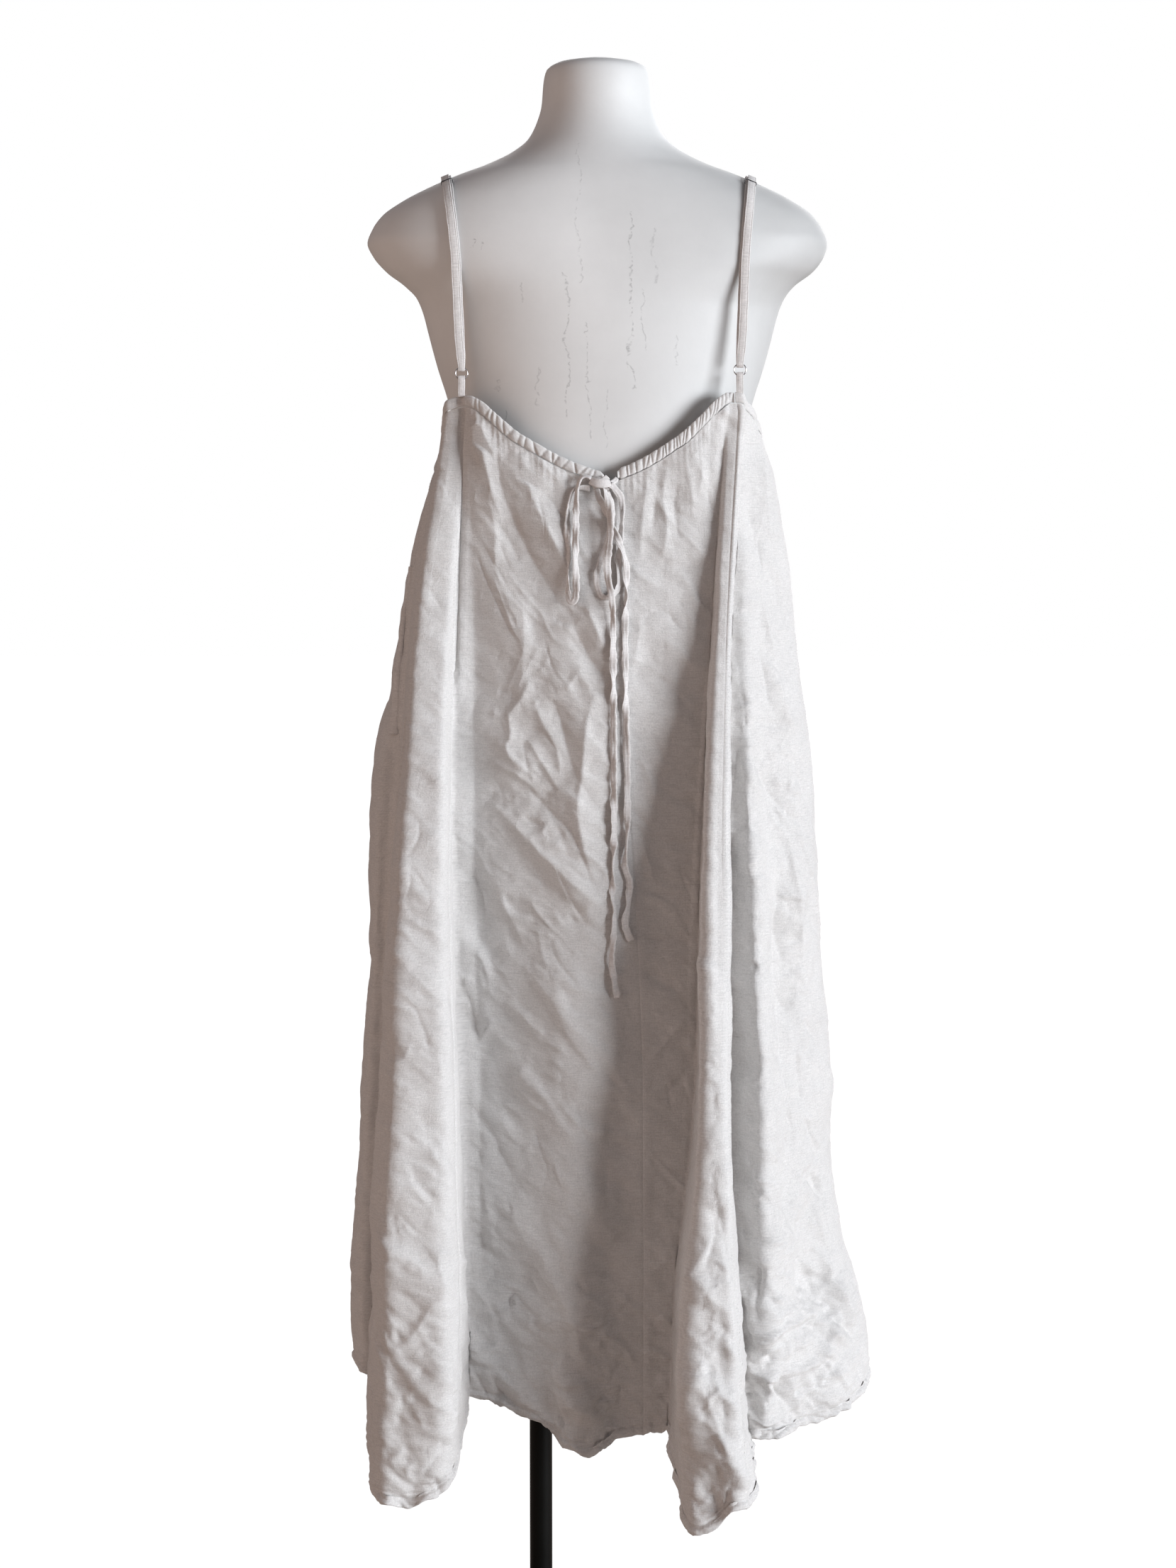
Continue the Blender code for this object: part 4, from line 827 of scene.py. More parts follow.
def linen_material(name, colour, thread=0.0008, bump=0.60, slub=1.0):
    material, make, shader = plain_material(name, colour, 0.88)
    cloth = make.add("UVMap", uv_map="cloth").outputs[0]
    weave = group_node(make, WEAVE, Cloth=cloth, Thread=thread, Slub=slub).outputs
    washed = group_node(make, WASHED, Cloth=cloth).outputs
    tinted = scaled_colour(make, colour, weave["Tone"], washed["Tone"])
    make.bump(shader, make.plus(weave["Height"], make.times(washed["Height"], 0.8)), bump, 0.0008)
    make.feed(
        shader, Base_Color=tinted, Sheen_Weight=0.12, Sheen_Roughness=0.6, Specular_IOR_Level=0.25
    )
    return material


def form_material():
    """Matt white casting, faintly mottled, with a few fine pencil-like scuffs, and painted shade that
    darkens its right side.
    """
    material, make, shader = plain_material("form_white", FORM_WHITE, 0.55)
    place = make.add("TexCoord").outputs["Object"]
    mottle = make.noise(place, 9.0, 5.0, 0.65)
    x, y, z = make.apart(place)
    wander = make.maths("SUBTRACT", make.noise(place, 26.0, 4.0, 0.7), 0.5)
    across = make.plus(x, make.times(wander, 0.030))
    marks = None
    for middle, low, high, width, depth in SCUFFS:
        off = make.maths("ABSOLUTE", make.maths("SUBTRACT", across, middle + FORM_X))
        line = make.between(off, 0.0, width, 1.0, 0.0)
        inside = make.times(make.maths("GREATER_THAN", z, low), make.maths("LESS_THAN", z, high))
        line = make.times(line, inside, depth)
        marks = line if marks is None else make.maths("MAXIMUM", marks, line)
    broken = make.between(make.noise(make.stretched(place, (1, 1, 2)), 160.0, 2.0), 0.40, 0.56)
    marks = make.times(marks, make.maths("LESS_THAN", y, 0.0), broken)
    tone = make.times(
        make.between(mottle, 0.3, 0.7, 0.935, 1.03),
        make.maths("SUBTRACT", 1.0, marks),
        # painted shade: the colour grows darker towards the form's right side, to hold down the strong
        # light from the lamp on the right
        make.between(x, FORM_X - 0.02, FORM_X + 0.17, 1.0, 0.67),
    )
    roughness = make.between(mottle, 0.3, 0.7, 0.48, 0.62)
    make.feed(shader, Base_Color=scaled_colour(make, FORM_WHITE, tone), Roughness=roughness)
    make.bump(shader, make.noise(place, 260.0, 2.0), 0.12, 0.0005)
    return material


def painted_material(name, colour, roughness):
    """Satin paint with a fine orange-peel surface."""
    material, make, shader = plain_material(name, colour, roughness)
    place = make.add("TexCoord").outputs["Object"]
    make.bump(shader, make.noise(place, 420.0, 2.0), 0.08, 0.0004)
    wear = make.between(make.noise(place, 25.0, 4.0), 0.35, 0.7, roughness - 0.08, roughness + 0.10)
    make.feed(shader, Roughness=wear, Specular_IOR_Level=0.12)
    return material


def metal_material(name, colour, roughness):
    material, make, shader = plain_material(name, colour, roughness, 1.0)
    scratches = make.noise(make.add("TexCoord").outputs["Object"], 900.0, 3.0)
    make.feed(shader, Roughness=make.between(scratches, 0.35, 0.7, roughness - 0.06, roughness + 0.10))
    return material


# Mesh helpers
def finished(mesh, material, replaced=()):
    """Makes a piece of a mesh, gives it its material and makes it ride on the part."""
    obj = bpy.data.objects.new(mesh.name, mesh)
    bpy.context.scene.collection.objects.link(obj)
    mesh.materials.append(material)
    mesh.shade_smooth()
    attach(obj, "root")
    if replaced:
        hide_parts(*replaced)
    return obj


def faces_mesh(name, points, faces, cloth=None):
    """A mesh from points round the form's middle and its faces, with cloth coordinates for its weave."""
    points = np.asarray(points, float).reshape(-1, 3) + (FORM_X, 0, 0)
    faces = np.asarray(faces, np.int32)
    mesh = bpy.data.meshes.new(name)
    mesh.vertices.add(len(points))
    mesh.vertices.foreach_set("co", points.ravel())
    mesh.loops.add(faces.size)
    mesh.loops.foreach_set("vertex_index", faces.ravel())
    mesh.polygons.add(len(faces))
    mesh.polygons.foreach_set("loop_start", np.arange(len(faces), dtype=np.int32) * faces.shape[1])
    if cloth is not None:
        layer = mesh.uv_layers.new(name="cloth")
        layer.data.foreach_set("uv", np.asarray(cloth, float).reshape(-1, 2)[faces.ravel()].ravel())
    mesh.update(calc_edges=True)
    mesh.validate()
    return mesh


def grid_faces(rows, columns, round_columns=False, round_rows=False):
    """Faces over a grid of points, turned so that columns to the right and rows down face outwards."""
    row = np.arange(rows if round_rows else rows - 1)
    column = np.arange(columns if round_columns else columns - 1)
    row, column = np.meshgrid(row, column, indexing="ij")
    below = (row + 1) % rows
    right = (column + 1) % columns
    corners = (
        row * columns + column,
        below * columns + column,
        below * columns + right,
        row * columns + right,
    )
    return np.stack(corners, -1).reshape(-1, 4)


def sheet_mesh(name, grid, cloth):
    return faces_mesh(name, grid, grid_faces(*grid.shape[:2]), cloth)


def tube_mesh(name, sections):
    """A closed tube through rings of points with capped ends, its weave laid along it."""
    sections = np.asarray(sections, float)
    count, around = sections.shape[:2]
    caps = []
    for end in (sections[0], sections[-1]):
        middle = end.mean(0)
        caps.append([np.tile(middle, (around, 1)), middle + (end - middle) * 0.5])
    grid = np.concatenate([caps[0], sections, caps[1][::-1]])
    along = distances(grid.mean(1))
    girth = np.linalg.norm(np.diff(sections[count // 2], axis=0), axis=1).mean()
    cloth = np.stack(np.broadcast_arrays(np.arange(around) * girth, along[:, None]), -1)
    faces = grid_faces(len(grid), around, round_columns=True)
    return faces_mesh(name, grid, faces, cloth)


def turned_mesh(name, profile, steps):
    """A turned piece from its outer profile, top to bottom, as (radius, height) in world metres."""
    turn = np.linspace(0, 2 * pi, steps, endpoint=False)
    grid = [[(r * sin(a) - FORM_X, -r * cos(a), z) for a in turn] for r, z in profile]
    return faces_mesh(name, np.array(grid), grid_faces(len(profile), steps, round_columns=True))


# Folds that the washed cloth keeps, drawn on the back, from their upper end down: height
# (a valley is below 0), flank to the left and to the right, then points (x from the form's middle,
# z), all in mm
Press = namedtuple("Press", "height left right points")
BACK_FOLDS = [Press(*row) for row in (
    (2.8, 11, 8.8, ((-132, 1215), (-138, 1176), (-144, 1130), (-151, 1085), (-156, 1040))),
    (5.3, 13.2, 8.8, ((-112, 1213), (-105, 1192), (-101, 1169), (-96, 1143), (-89, 1121))),
    (-4.8, 12, 14, (
        (-94, 1208), (-92, 1182), (-89, 1150), (-79, 1124), (-65, 1092), (-45, 1060), (-29, 1037),
        (-21, 1026)
    )),
    (5.8, 15.4, 11, ((-71, 1182), (-60, 1143), (-45, 1111), (-32, 1085), (-21, 1060))),
    (3.7, 16, 9, (
        (-102, 1150), (-95, 1111), (-95, 1079), (-86, 1053), (-70, 1040), (-69, 1011), (-71, 982),
        (-76, 959)
    )),
    (-4.4, 9.9, 9.9, ((-24, 1026), (-13, 1005), (-3, 989), (5, 977))),
    (3.9, 9.9, 6.6, ((-11, 1043), (-2, 1021), (5, 1005))),
    (2.4, 6.6, 6.6, ((-55, 1182), (-45, 1166), (-32, 1153))),
    (-2.2, 6.6, 6.6, ((-94, 1121), (-84, 1105), (-74, 1085))),
    (2.9, 7.7, 6.6, ((45, 1166), (42, 1143), (39, 1114), (38, 1085))),
    (2.9, 6.6, 6.6, ((62, 1169), (58, 1143), (62, 1117), (58, 1085))),
    (2.4, 7.7, 6.6, ((78, 1182), (84, 1150), (86, 1124))),
    (2.2, 5.5, 5.5, ((91, 1195), (94, 1169), (91, 1143))),
    (-2.4, 5.5, 5.5, ((52, 1143), (49, 1114))),
    (-2.9, 6.6, 6.6, ((71, 1156), (69, 1130), (73, 1105))),
    (2.2, 6.6, 5.5, ((29, 1079), (49, 1063), (75, 1053))),
    (-1.5, 5.5, 5.5, ((101, 1085), (84, 1079), (68, 1080))),
    (2.2, 8.8, 7.7, ((39, 1040), (36, 1014), (31, 982))),
    (4.4, 6.6, 8.8, ((-63, 979), (-71, 959), (-84, 944), (-80, 927), (-85, 912), (-69, 890))),
    (-2.4, 3.3, 3.3, ((-94, 966), (-84, 966), (-74, 959))),
    (3.9, 7.7, 7.7, ((-60, 960), (-52, 937), (-39, 915), (-35, 885))),
    (-3.4, 6.6, 8.8, ((-43, 960), (-35, 937), (-29, 911), (-21, 892))),
    (2.4, 5.5, 5.5, ((-29, 966), (-21, 982), (-6, 968))),
    (5.8, 9.9, 11, ((-4, 966), (-12, 931), (-15, 892), (-19, 860), (-15, 827), (-6, 795), (3, 769))),
    (-4, 6.6, 5.5, (
        (-74, 885), (-58, 869), (-39, 850), (-26, 839), (-17, 821), (-6, 792), (7, 765)
    )),
    (3.9, 5.5, 6.6, ((-101, 901), (-84, 894), (-68, 885), (-52, 869))),
    (3.4, 5.5, 5.5, ((-94, 920), (-82, 907), (-71, 898), (-58, 885))),
    (3.2, 4.4, 7.7, ((-65, 921), (-52, 901), (-39, 879))),
    (-3.2, 4.4, 4.4, ((-58, 898), (-48, 885), (-39, 874))),
    (5.6, 11, 11, ((-101, 865), (-78, 842), (-55, 820), (-29, 797), (0, 769))),
    (-2.4, 3.3, 3.3, ((-69, 852), (-58, 843), (-47, 846))),
    (2.2, 3.3, 4.4, ((-55, 853), (-48, 843), (-52, 834))),
    (3.9, 7.7, 7.7, ((-117, 825), (-104, 799), (-94, 780), (-85, 760), (-65, 754))),
    (-3.4, 5.5, 5.5, ((-121, 798), (-111, 779), (-108, 759), (-109, 745))),
    (5.4, 14, 14, (
        (-93, 730), (-68, 713), (-45, 687), (-23, 658), (0, 637), (17, 616), (24, 603), (38, 590)
    )),
    (2.4, 6.6, 6.6, ((-62, 715), (-29, 701), (3, 687))),
    (-4, 8.8, 5.5, ((-129, 699), (-120, 666), (-116, 635))),
    (3.4, 5.5, 5.5, ((-98, 661), (-108, 651), (-116, 634))),
    (3.9, 5.5, 6.6, ((-87, 678), (-72, 668), (-58, 655), (-51, 652))),
    (4, 5.5, 8.8, ((-78, 616), (-65, 604), (-52, 595), (-36, 593))),
    (-2.4, 3.3, 4.4, ((-29, 762), (-19, 753), (-10, 751))),
    (2.2, 5.5, 5.5, ((-57, 748), (-52, 726), (-45, 713))),
    (3.2, 4.4, 4.4, ((38, 833), (44, 813), (52, 788))),
    (2.9, 5.5, 5.5, ((38, 905), (46, 888), (52, 869))),
    (-3.2, 4.4, 5.5, ((39, 709), (56, 698), (74, 691))),
    (-1.8, 4.4, 4.4, ((59, 829), (78, 826), (96, 833))),
    (-1.9, 4.4, 4.4, ((43, 735), (69, 737), (92, 734))),
    (2.5, 5.5, 5.5, ((82, 668), (62, 642), (46, 623))),
    (-2.3, 5.5, 5.5, ((91, 628), (69, 599), (53, 590))),
    (2.2, 4.4, 4.4, ((-121, 732), (-110, 720), (-101, 697))),
    (4.8, 6.6, 7.7, ((-36, 588), (-26, 577), (-10, 563), (10, 559))),
    (-3.2, 4.4, 4.4, ((4, 559), (20, 550), (40, 539))),
    (5.4, 16, 20, (
        (-67, 501), (-70, 488), (-63, 468), (-52, 450), (-39, 422), (-29, 397), (-19, 372), (-21, 345),
        (-29, 324), (-32, 300)
    )),
    (-4.8, 11, 8.8, ((-126, 583), (-101, 555), (-92, 536), (-80, 517), (-65, 498))),
    (-2.4, 3.3, 4.4, ((-27, 424), (-17, 420), (-8, 412), (11, 410))),
    (3.2, 4.4, 4.4, ((-65, 384), (-46, 384), (-29, 389), (-19, 381))),
    (-2.7, 4.4, 4.4, ((-65, 372), (-42, 376), (-26, 374))),
    (-3.2, 4.4, 4.4, ((-95, 359), (-69, 355), (-36, 359), (-19, 364))),
    (3.2, 4.4, 5.5, ((-132, 471), (-122, 438), (-102, 422))),
    (-3.8, 5.5, 5.5, ((-127, 340), (-102, 336), (-69, 345))),
    (-2.4, 3.3, 3.3, ((17, 340), (27, 346), (30, 332))),
    (2.4, 3.3, 3.3, ((-3, 369), (7, 373), (20, 373))),
    (3.8, 6.6, 6.6, ((-36, 303), (-10, 315), (18, 304))),
    (-3.3, 5.5, 6.6, ((-29, 291), (4, 289), (37, 297))),
    (2.7, 5.5, 5.5, ((17, 393), (27, 409), (33, 432))),
    (2.6, 6.6, 6.6, ((-95, 582), (-75, 580), (-57, 575))),
    (2.4, 5.5, 5.5, ((-118, 415), (-102, 389), (-95, 369))),
    (-2.7, 5.5, 5.5, ((-56, 299), (-82, 307), (-102, 319))),
    (-3, 4.4, 4.4, ((-174, 855), (-165, 848), (-156, 843))),
    (-2.6, 4.4, 4.4, ((-183, 866), (-166, 863), (-158, 855))),
    (2.2, 5.5, 6.6, ((-161, 895), (-149, 879), (-140, 860))),
    (3.7, 7.7, 7.7, ((-186, 808), (-164, 790), (-151, 765), (-138, 740))),
    (-4.9, 7.7, 7.7, ((-184, 785), (-172, 759), (-163, 733), (-165, 712))),
    (2.2, 5.5, 6.6, ((-158, 822), (-150, 796), (-142, 771))),
    (3.4, 6.6, 6.6, ((-182, 701), (-174, 682), (-163, 669), (-138, 645))),
    (-3.2, 4.4, 6.6, ((-186, 694), (-181, 679), (-174, 664))),
    (-2.2, 5.5, 5.5, ((-158, 707), (-150, 682), (-146, 656))),
    (-4, 5.5, 6.6, ((-169, 593), (-155, 567), (-137, 535))),
    (-2.9, 5.5, 5.5, ((-183, 574), (-167, 548), (-157, 534))),
    (-3.8, 5.5, 7.7, ((-173, 526), (-169, 503), (-172, 476))),
    (2.5, 5.5, 5.5, ((-154, 510), (-146, 490), (-143, 465))),
    (-3.2, 4.4, 5.5, ((-178, 404), (-164, 392), (-141, 384), (-132, 380))),
    (2.5, 4.4, 4.4, ((-174, 393), (-158, 384), (-135, 372))),
    (-2.4, 3.3, 4.4, ((-154, 374), (-145, 361), (-132, 357))),
    (-3.4, 5.5, 6.6, ((-174, 351), (-180, 331), (-176, 307))),
    (-2.9, 5.5, 5.5, ((-194, 304), (-171, 301), (-152, 314), (-135, 324))),
    (2.5, 5.5, 5.5, ((-158, 270), (-145, 272), (-131, 277))),
    (-2.5, 5.5, 5.5, ((-204, 273), (-184, 260), (-165, 256))),
    (2.1, 5.5, 5.5, ((-153, 1059), (-140, 1040), (-136, 1023))),
    (2.2, 6.6, 6.6, ((-166, 994), (-153, 975), (-141, 959))),
    (-2.2, 5.5, 6.6, ((-169, 955), (-156, 943), (-143, 933))),
    (-6.1, 8, 6, ((105, 515), (110, 490), (118, 451))),
    (3.8, 5.5, 6.6, ((101, 491), (91, 466), (82, 446))),
    (-2.9, 4.4, 4.4, ((97, 475), (105, 463), (116, 453))),
    (-2.9, 4.4, 4.4, ((85, 416), (100, 416), (123, 397))),
    (2.9, 5.5, 6.6, ((80, 354), (91, 378), (106, 390))),
    (6.7, 15.4, 11, ((77, 338), (97, 329), (115, 308), (137, 253))),
    (2.5, 5.5, 5.5, ((97, 372), (109, 357), (125, 336))),
    (1.9, 5.5, 5.5, ((96, 768), (104, 758), (113, 750))),
    (-1.9, 4.4, 4.4, ((98, 837), (105, 826), (111, 807))),
    (-2.5, 5.5, 5.5, ((87, 274), (100, 265), (109, 259))),
    (2.9, 5.5, 5.5, ((85, 459), (97, 436), (116, 423))),
    (-4.4, 5.5, 5.5, ((141, 913), (154, 883), (169, 858), (181, 847))),
    (-3.5, 4.4, 4.4, ((183, 907), (189, 879), (198, 851))),
    (3.5, 4.4, 4.4, ((184, 840), (190, 812), (202, 770), (214, 717))),
    (3.5, 4.4, 5.5, ((176, 828), (180, 787), (187, 746), (191, 706))),
    (-4.4, 5.5, 6.6, ((162, 763), (169, 735), (176, 705))),
    (-3.5, 4.4, 4.4, ((169, 683), (175, 672), (181, 660))),
    (-3.5, 4.4, 5.5, ((194, 652), (208, 632), (212, 607))),
    (-4.4, 5.5, 5.5, ((183, 634), (189, 606), (191, 572))),
    (-6.8, 8.8, 11, ((163, 796), (167, 729), (171, 663), (175, 584), (180, 535))),
    (-5.3, 6.6, 6.6, ((194, 558), (206, 535), (213, 512))),
    (-4.4, 6.6, 5.5, ((206, 508), (216, 482), (221, 462))),
    (4.4, 6.6, 5.5, ((213, 522), (198, 517), (184, 504))),
    (-4.1, 5.5, 5.5, ((190, 414), (209, 409), (235, 398))),
    (-7.6, 6, 12, ((163, 330), (173, 311), (192, 282))),
    (-4.4, 5.5, 5.5, ((232, 371), (241, 350), (250, 337))),
    (4.4, 5.5, 5.5, ((234, 364), (219, 349), (204, 326))),
    (4.1, 6.6, 6.6, ((154, 419), (166, 404), (164, 380))),
    (-3.5, 4.4, 4.4, ((241, 333), (219, 322), (204, 305))),
    (4.4, 5.5, 5.5, ((171, 331), (194, 332), (212, 341))),
    (3.1, 7.7, 7.7, ((151, 1183), (155, 1144), (160, 1104))),
    (-3.1, 6.6, 6.6, ((141, 1131), (149, 1091), (158, 1059))),
    (3.4, 6.6, 6.6, ((151, 1052), (158, 1019), (168, 993))),
    (-3.4, 5.5, 5.5, ((144, 1014), (153, 981), (159, 948))),
    (3.7, 6.6, 6.6, ((165, 973), (175, 947), (184, 920))),
    (-1.9, 5.5, 6.6, ((127, 994), (132, 962), (135, 923))),
    (7.8, 11, 34, (
        (103, 995), (101, 888), (100, 800), (99, 719), (98, 644), (93, 533), (82, 451), (78, 367),
        (76, 303), (76, 260)
    )),
    (10.5, 13, 36, (
        (-185, 885), (-187, 822), (-189, 758), (-192, 663), (-194, 567), (-198, 471), (-202, 374),
        (-206, 280)
    )),
    (-9.2, 17, 50, (
        (-117, 1143), (-117, 1014), (-117, 916), (-116, 818), (-114, 687), (-112, 555), (-110, 422),
        (-109, 318)
    )),
    (3.7, 12, 5, (
        (151, 799), (154, 727), (158, 655), (161, 557), (163, 491), (158, 447), (151, 406)
    )),
    (-4.1, 3, 5, ((147, 440), (147, 419), (146, 399), (149, 386))),
    (4.4, 6.6, 5.5, ((157, 388), (174, 389), (190, 390), (206, 380), (220, 367))),
    (4.4, 5.5, 7.7, ((162, 344), (177, 352), (194, 353), (212, 345))),
    (-4.4, 5.5, 5.5, ((168, 372), (184, 370), (202, 365), (217, 350))),
    (4.4, 5.5, 6.6, ((183, 293), (193, 305), (204, 313), (220, 318), (238, 315))),
    (-3.5, 4.4, 5.5, ((155, 299), (167, 310), (177, 323))),
    (4.4, 5.5, 5.5, ((220, 419), (227, 397), (239, 375), (246, 353))),
    (3.5, 4.4, 5.5, ((206, 475), (213, 450), (222, 431))),
    (3.1, 5.5, 5.5, ((105, 390), (116, 396), (134, 355), (139, 342))),
    (2.9, 4.4, 6.6, ((87, 341), (98, 352), (111, 356), (125, 345))),
    (-2.5, 4.4, 4.4, ((91, 311), (102, 321), (115, 325), (129, 313))),
    (2.9, 5.5, 5.5, ((84, 283), (97, 294), (110, 298), (126, 291))),
    (-3.2, 4.4, 6.6, ((105, 514), (102, 489), (96, 469), (88, 452))),
    (-3.2, 4.4, 5.5, ((105, 514), (113, 490), (120, 462), (122, 438))),
    (3.2, 4.4, 6.6, ((97, 472), (107, 465), (116, 453))),
    (5.5, 7.7, 7.7, ((88, 372), (92, 357), (102, 335), (115, 311), (130, 277))),
    (4, 5.5, 6.6, ((92, 374), (84, 355), (80, 337))),
    (-4.4, 8.8, 5.5, ((165, 328), (171, 310), (177, 289))),
    (5.3, 6.6, 6.6, ((177, 324), (186, 302), (192, 281))),
    (4.4, 6.6, 5.5, ((143, 356), (161, 374), (183, 377), (205, 378))),
    (4.4, 5.5, 5.5, ((151, 321), (168, 333), (197, 331), (226, 337))),
    (2.9, 5.5, 5.5, ((-193, 503), (-177, 489), (-159, 483), (-139, 485))),
    (-2.5, 4.4, 5.5, ((-190, 439), (-175, 422), (-158, 414), (-138, 418))),
    (2.9, 5.5, 6.6, ((-199, 387), (-183, 372), (-164, 366), (-143, 370))),
    (-2.3, 4.4, 4.4, ((-200, 347), (-184, 338), (-166, 334), (-145, 341))),
    (2.5, 4.4, 5.5, ((-203, 307), (-187, 297), (-166, 292), (-146, 301))),
    (-2.1, 4.4, 4.4, ((-204, 273), (-184, 261), (-164, 262), (-144, 273))),
)]

# Relief all over the cloth. Flats: depth in cells, cell, seed, lean, stretch, sharpness
FLATS = (
    (0.085, 0.055, 11, 0.75, 2.1, 8.0),
    (0.070, 0.026, 12, 0.65, 2.0, 8.0),
    (0.085, 0.013, 13, 1.1, 2.0, 8.0),
    (0.075, 0.0068, 15, 1.35, 2.4, 7.0),
    (0.030, 0.140, 14, 0.3, 1.6, 5.0),
)
# Crests: height, cell, seed, lean, stretch, width, how few there are, whether only near the hem
CRESTS = (
    (0.0015, 0.050, 31, 0.8, 2.0, 0.07, 0.0, False),
    (-0.0013, 0.036, 41, 0.5, 2.0, 0.07, 0.0, False),
    (0.0010, 0.024, 51, 1.2, 2.0, 0.08, 0.0, False),
    (0.0009, 0.030, 61, -0.9, 2.0, 0.06, 0.1, False),
    (-0.0008, 0.014, 71, 1.3, 2.0, 0.10, 0.0, False),
    (0.0016, 0.021, 91, 1.35, 2.2, 0.12, 0.0, True),
    (-0.0012, 0.015, 95, 1.7, 2.0, 0.12, 0.0, True),
)

# Wandering folds: count, places, heights, seed, longest and widest, lean, its spread
WANDERING_FOLDS = (
    (190, (1.7, 3.4), (0.28, 1.17), 5, (0.17, 0.013), 0.7, 0.35),
    (220, (0.0, 5.0), (0.24, 0.95), 6, (0.050, 0.0042), 0.9, 0.5),
)

# How far to each side of a seam its flattened cloth, its puckers, its turning and its groove reach
SEAM_FLAT = 0.009
SEAM_PUCKER = 0.007
SEAM_TURNING = 0.0085
SEAM_GROOVE = 0.0010

# Where the hem hangs lower than the panels' own: place, half width in places, how far
LOWER_HEM = ((1.02, 0.085, 0.022), (3.76, 0.11, 0.011))
# The hem's roll, its stitched groove and its inner edge, over and inside the hem's edge
ROLL_MIDDLE = 0.0030
ROLL_HALF_HEIGHT = 0.0036
HEM_GROOVE = 0.0076
HEM_STITCHES = 0.0074
HEM_TURN = ((0.0009, -0.0006), (0.0020, -0.0002), (0.0022, 0.0075))

# Marks on the form's back: x from the form's middle, from, to, half width, strength
SCUFFS = (
    (-0.0180, 1.335, 1.465, 0.0010, 0.22),
    (-0.0300, 1.215, 1.345, 0.0012, 0.30),
    (-0.0120, 1.195, 1.300, 0.0010, 0.28),
    (0.0060, 1.185, 1.240, 0.0011, 0.24),
    (0.0290, 1.240, 1.400, 0.0013, 0.34),
    (0.0410, 1.275, 1.330, 0.0011, 0.26),
    (0.0520, 1.335, 1.385, 0.0018, 0.20),
    (-0.0560, 1.225, 1.262, 0.0012, 0.20),
    (-0.1150, 1.368, 1.376, 0.0012, 0.40),
    (-0.1070, 1.366, 1.373, 0.0010, 0.34),
    (-0.0880, 1.205, 1.222, 0.0011, 0.30),
    (-0.0940, 1.238, 1.250, 0.0010, 0.22),
    (-0.0700, 1.318, 1.336, 0.0014, 0.20),
    (0.0680, 1.262, 1.290, 0.0013, 0.22),
)


def ring_rows(places, rows):
    """The dress's outer surface as a grid from under the casing down to the hem, all the way round."""
    down = np.interp(np.linspace(0, 1, rows), (0, 0.03, 0.96, 1), (0, 0.018, 0.981, 1))[:, None]
    top = top_height(places) - casing_height(places) - CASING_GAP
    heights = top + (hem_height(places) - top) * down
    return dress_point(np.broadcast_to(places, heights.shape), heights)


def closed_normals(grid):
    """The way out at each point of a grid that closes round its columns."""
    around = np.roll(grid, -1, axis=1) - np.roll(grid, 1, axis=1)
    return unit(np.cross(around, -np.gradient(grid, axis=0)))


def in_cells(across, down, cell, lean, stretch):
    """Places on the cloth in cells that lean and are longer than wide."""
    a = (across * cos(lean) + down * sin(lean)) / cell
    b = (down * cos(lean) - across * sin(lean)) / (cell * stretch)
    return a, b


def facets(across, down, cell, seed, lean, stretch, sharp):
    """Relief of cloth broken into soft-edged flats about one cell wide, as a height in cells."""
    table = np.random.default_rng(seed).uniform(-1, 1, (64, 64, 5))
    a, b = in_cells(across, down, cell, lean, stretch)
    low_a = np.floor(a).astype(int)
    low_b = np.floor(b).astype(int)
    total = np.zeros_like(a)
    weight = np.zeros_like(a)
    for step_a in (-1, 0, 1):
        for step_b in (-1, 0, 1):
            own = table[(low_a + step_a) % 64, (low_b + step_b) % 64]
            off_a = a - (low_a + step_a + 0.5 + 0.42 * own[..., 0])
            off_b = b - (low_b + step_b + 0.5 + 0.42 * own[..., 1])
            share = np.exp(-sharp * (off_a**2 + off_b**2))
            total += share * (own[..., 2] * off_a + own[..., 3] * off_b + 0.35 * own[..., 4])
            weight += share
    return total / weight


def cloth_noise(a, b, seed):
    """Smooth uneven values, about -0.7 to 0.7, with one swell to each unit both ways."""
    turn = np.random.default_rng(seed).uniform(0, 2 * pi, (128, 128))
    low_a = np.floor(a).astype(int)
    low_b = np.floor(b).astype(int)
    off_a = a - low_a
    off_b = b - low_b
    ease_a = off_a**3 * (off_a * (off_a * 6 - 15) + 10)
    ease_b = off_b**3 * (off_b * (off_b * 6 - 15) + 10)
    corners = []
    for i in (0, 1):
        for j in (0, 1):
            angle = turn[(low_a + i) % 128, (low_b + j) % 128]
            corners.append(np.cos(angle) * (off_a - i) + np.sin(angle) * (off_b - j))
    left = corners[0] * (1 - ease_b) + corners[1] * ease_b
    right = corners[2] * (1 - ease_b) + corners[3] * ease_b
    return left * (1 - ease_a) + right * ease_a


def wrinkles(across, down, cell, seed, lean, stretch, width, fewer):
    """Narrow crests, 0 to 1, that wander through the cloth and fade out."""
    a, b = in_cells(across, down, cell, lean, stretch)
    bent_a = a + 0.7 * cloth_noise(a * 0.8, b * 0.8, seed + 1)
    bent_b = b + 0.7 * cloth_noise(a * 0.8, b * 0.8, seed + 2)
    line = np.abs(cloth_noise(bent_a, bent_b, seed))
    shown = smooth_step(fewer, fewer + 0.30, cloth_noise(a * 0.7 + 9, b * 0.9 + 5, seed + 3))
    return np.exp(-line / width) * shown


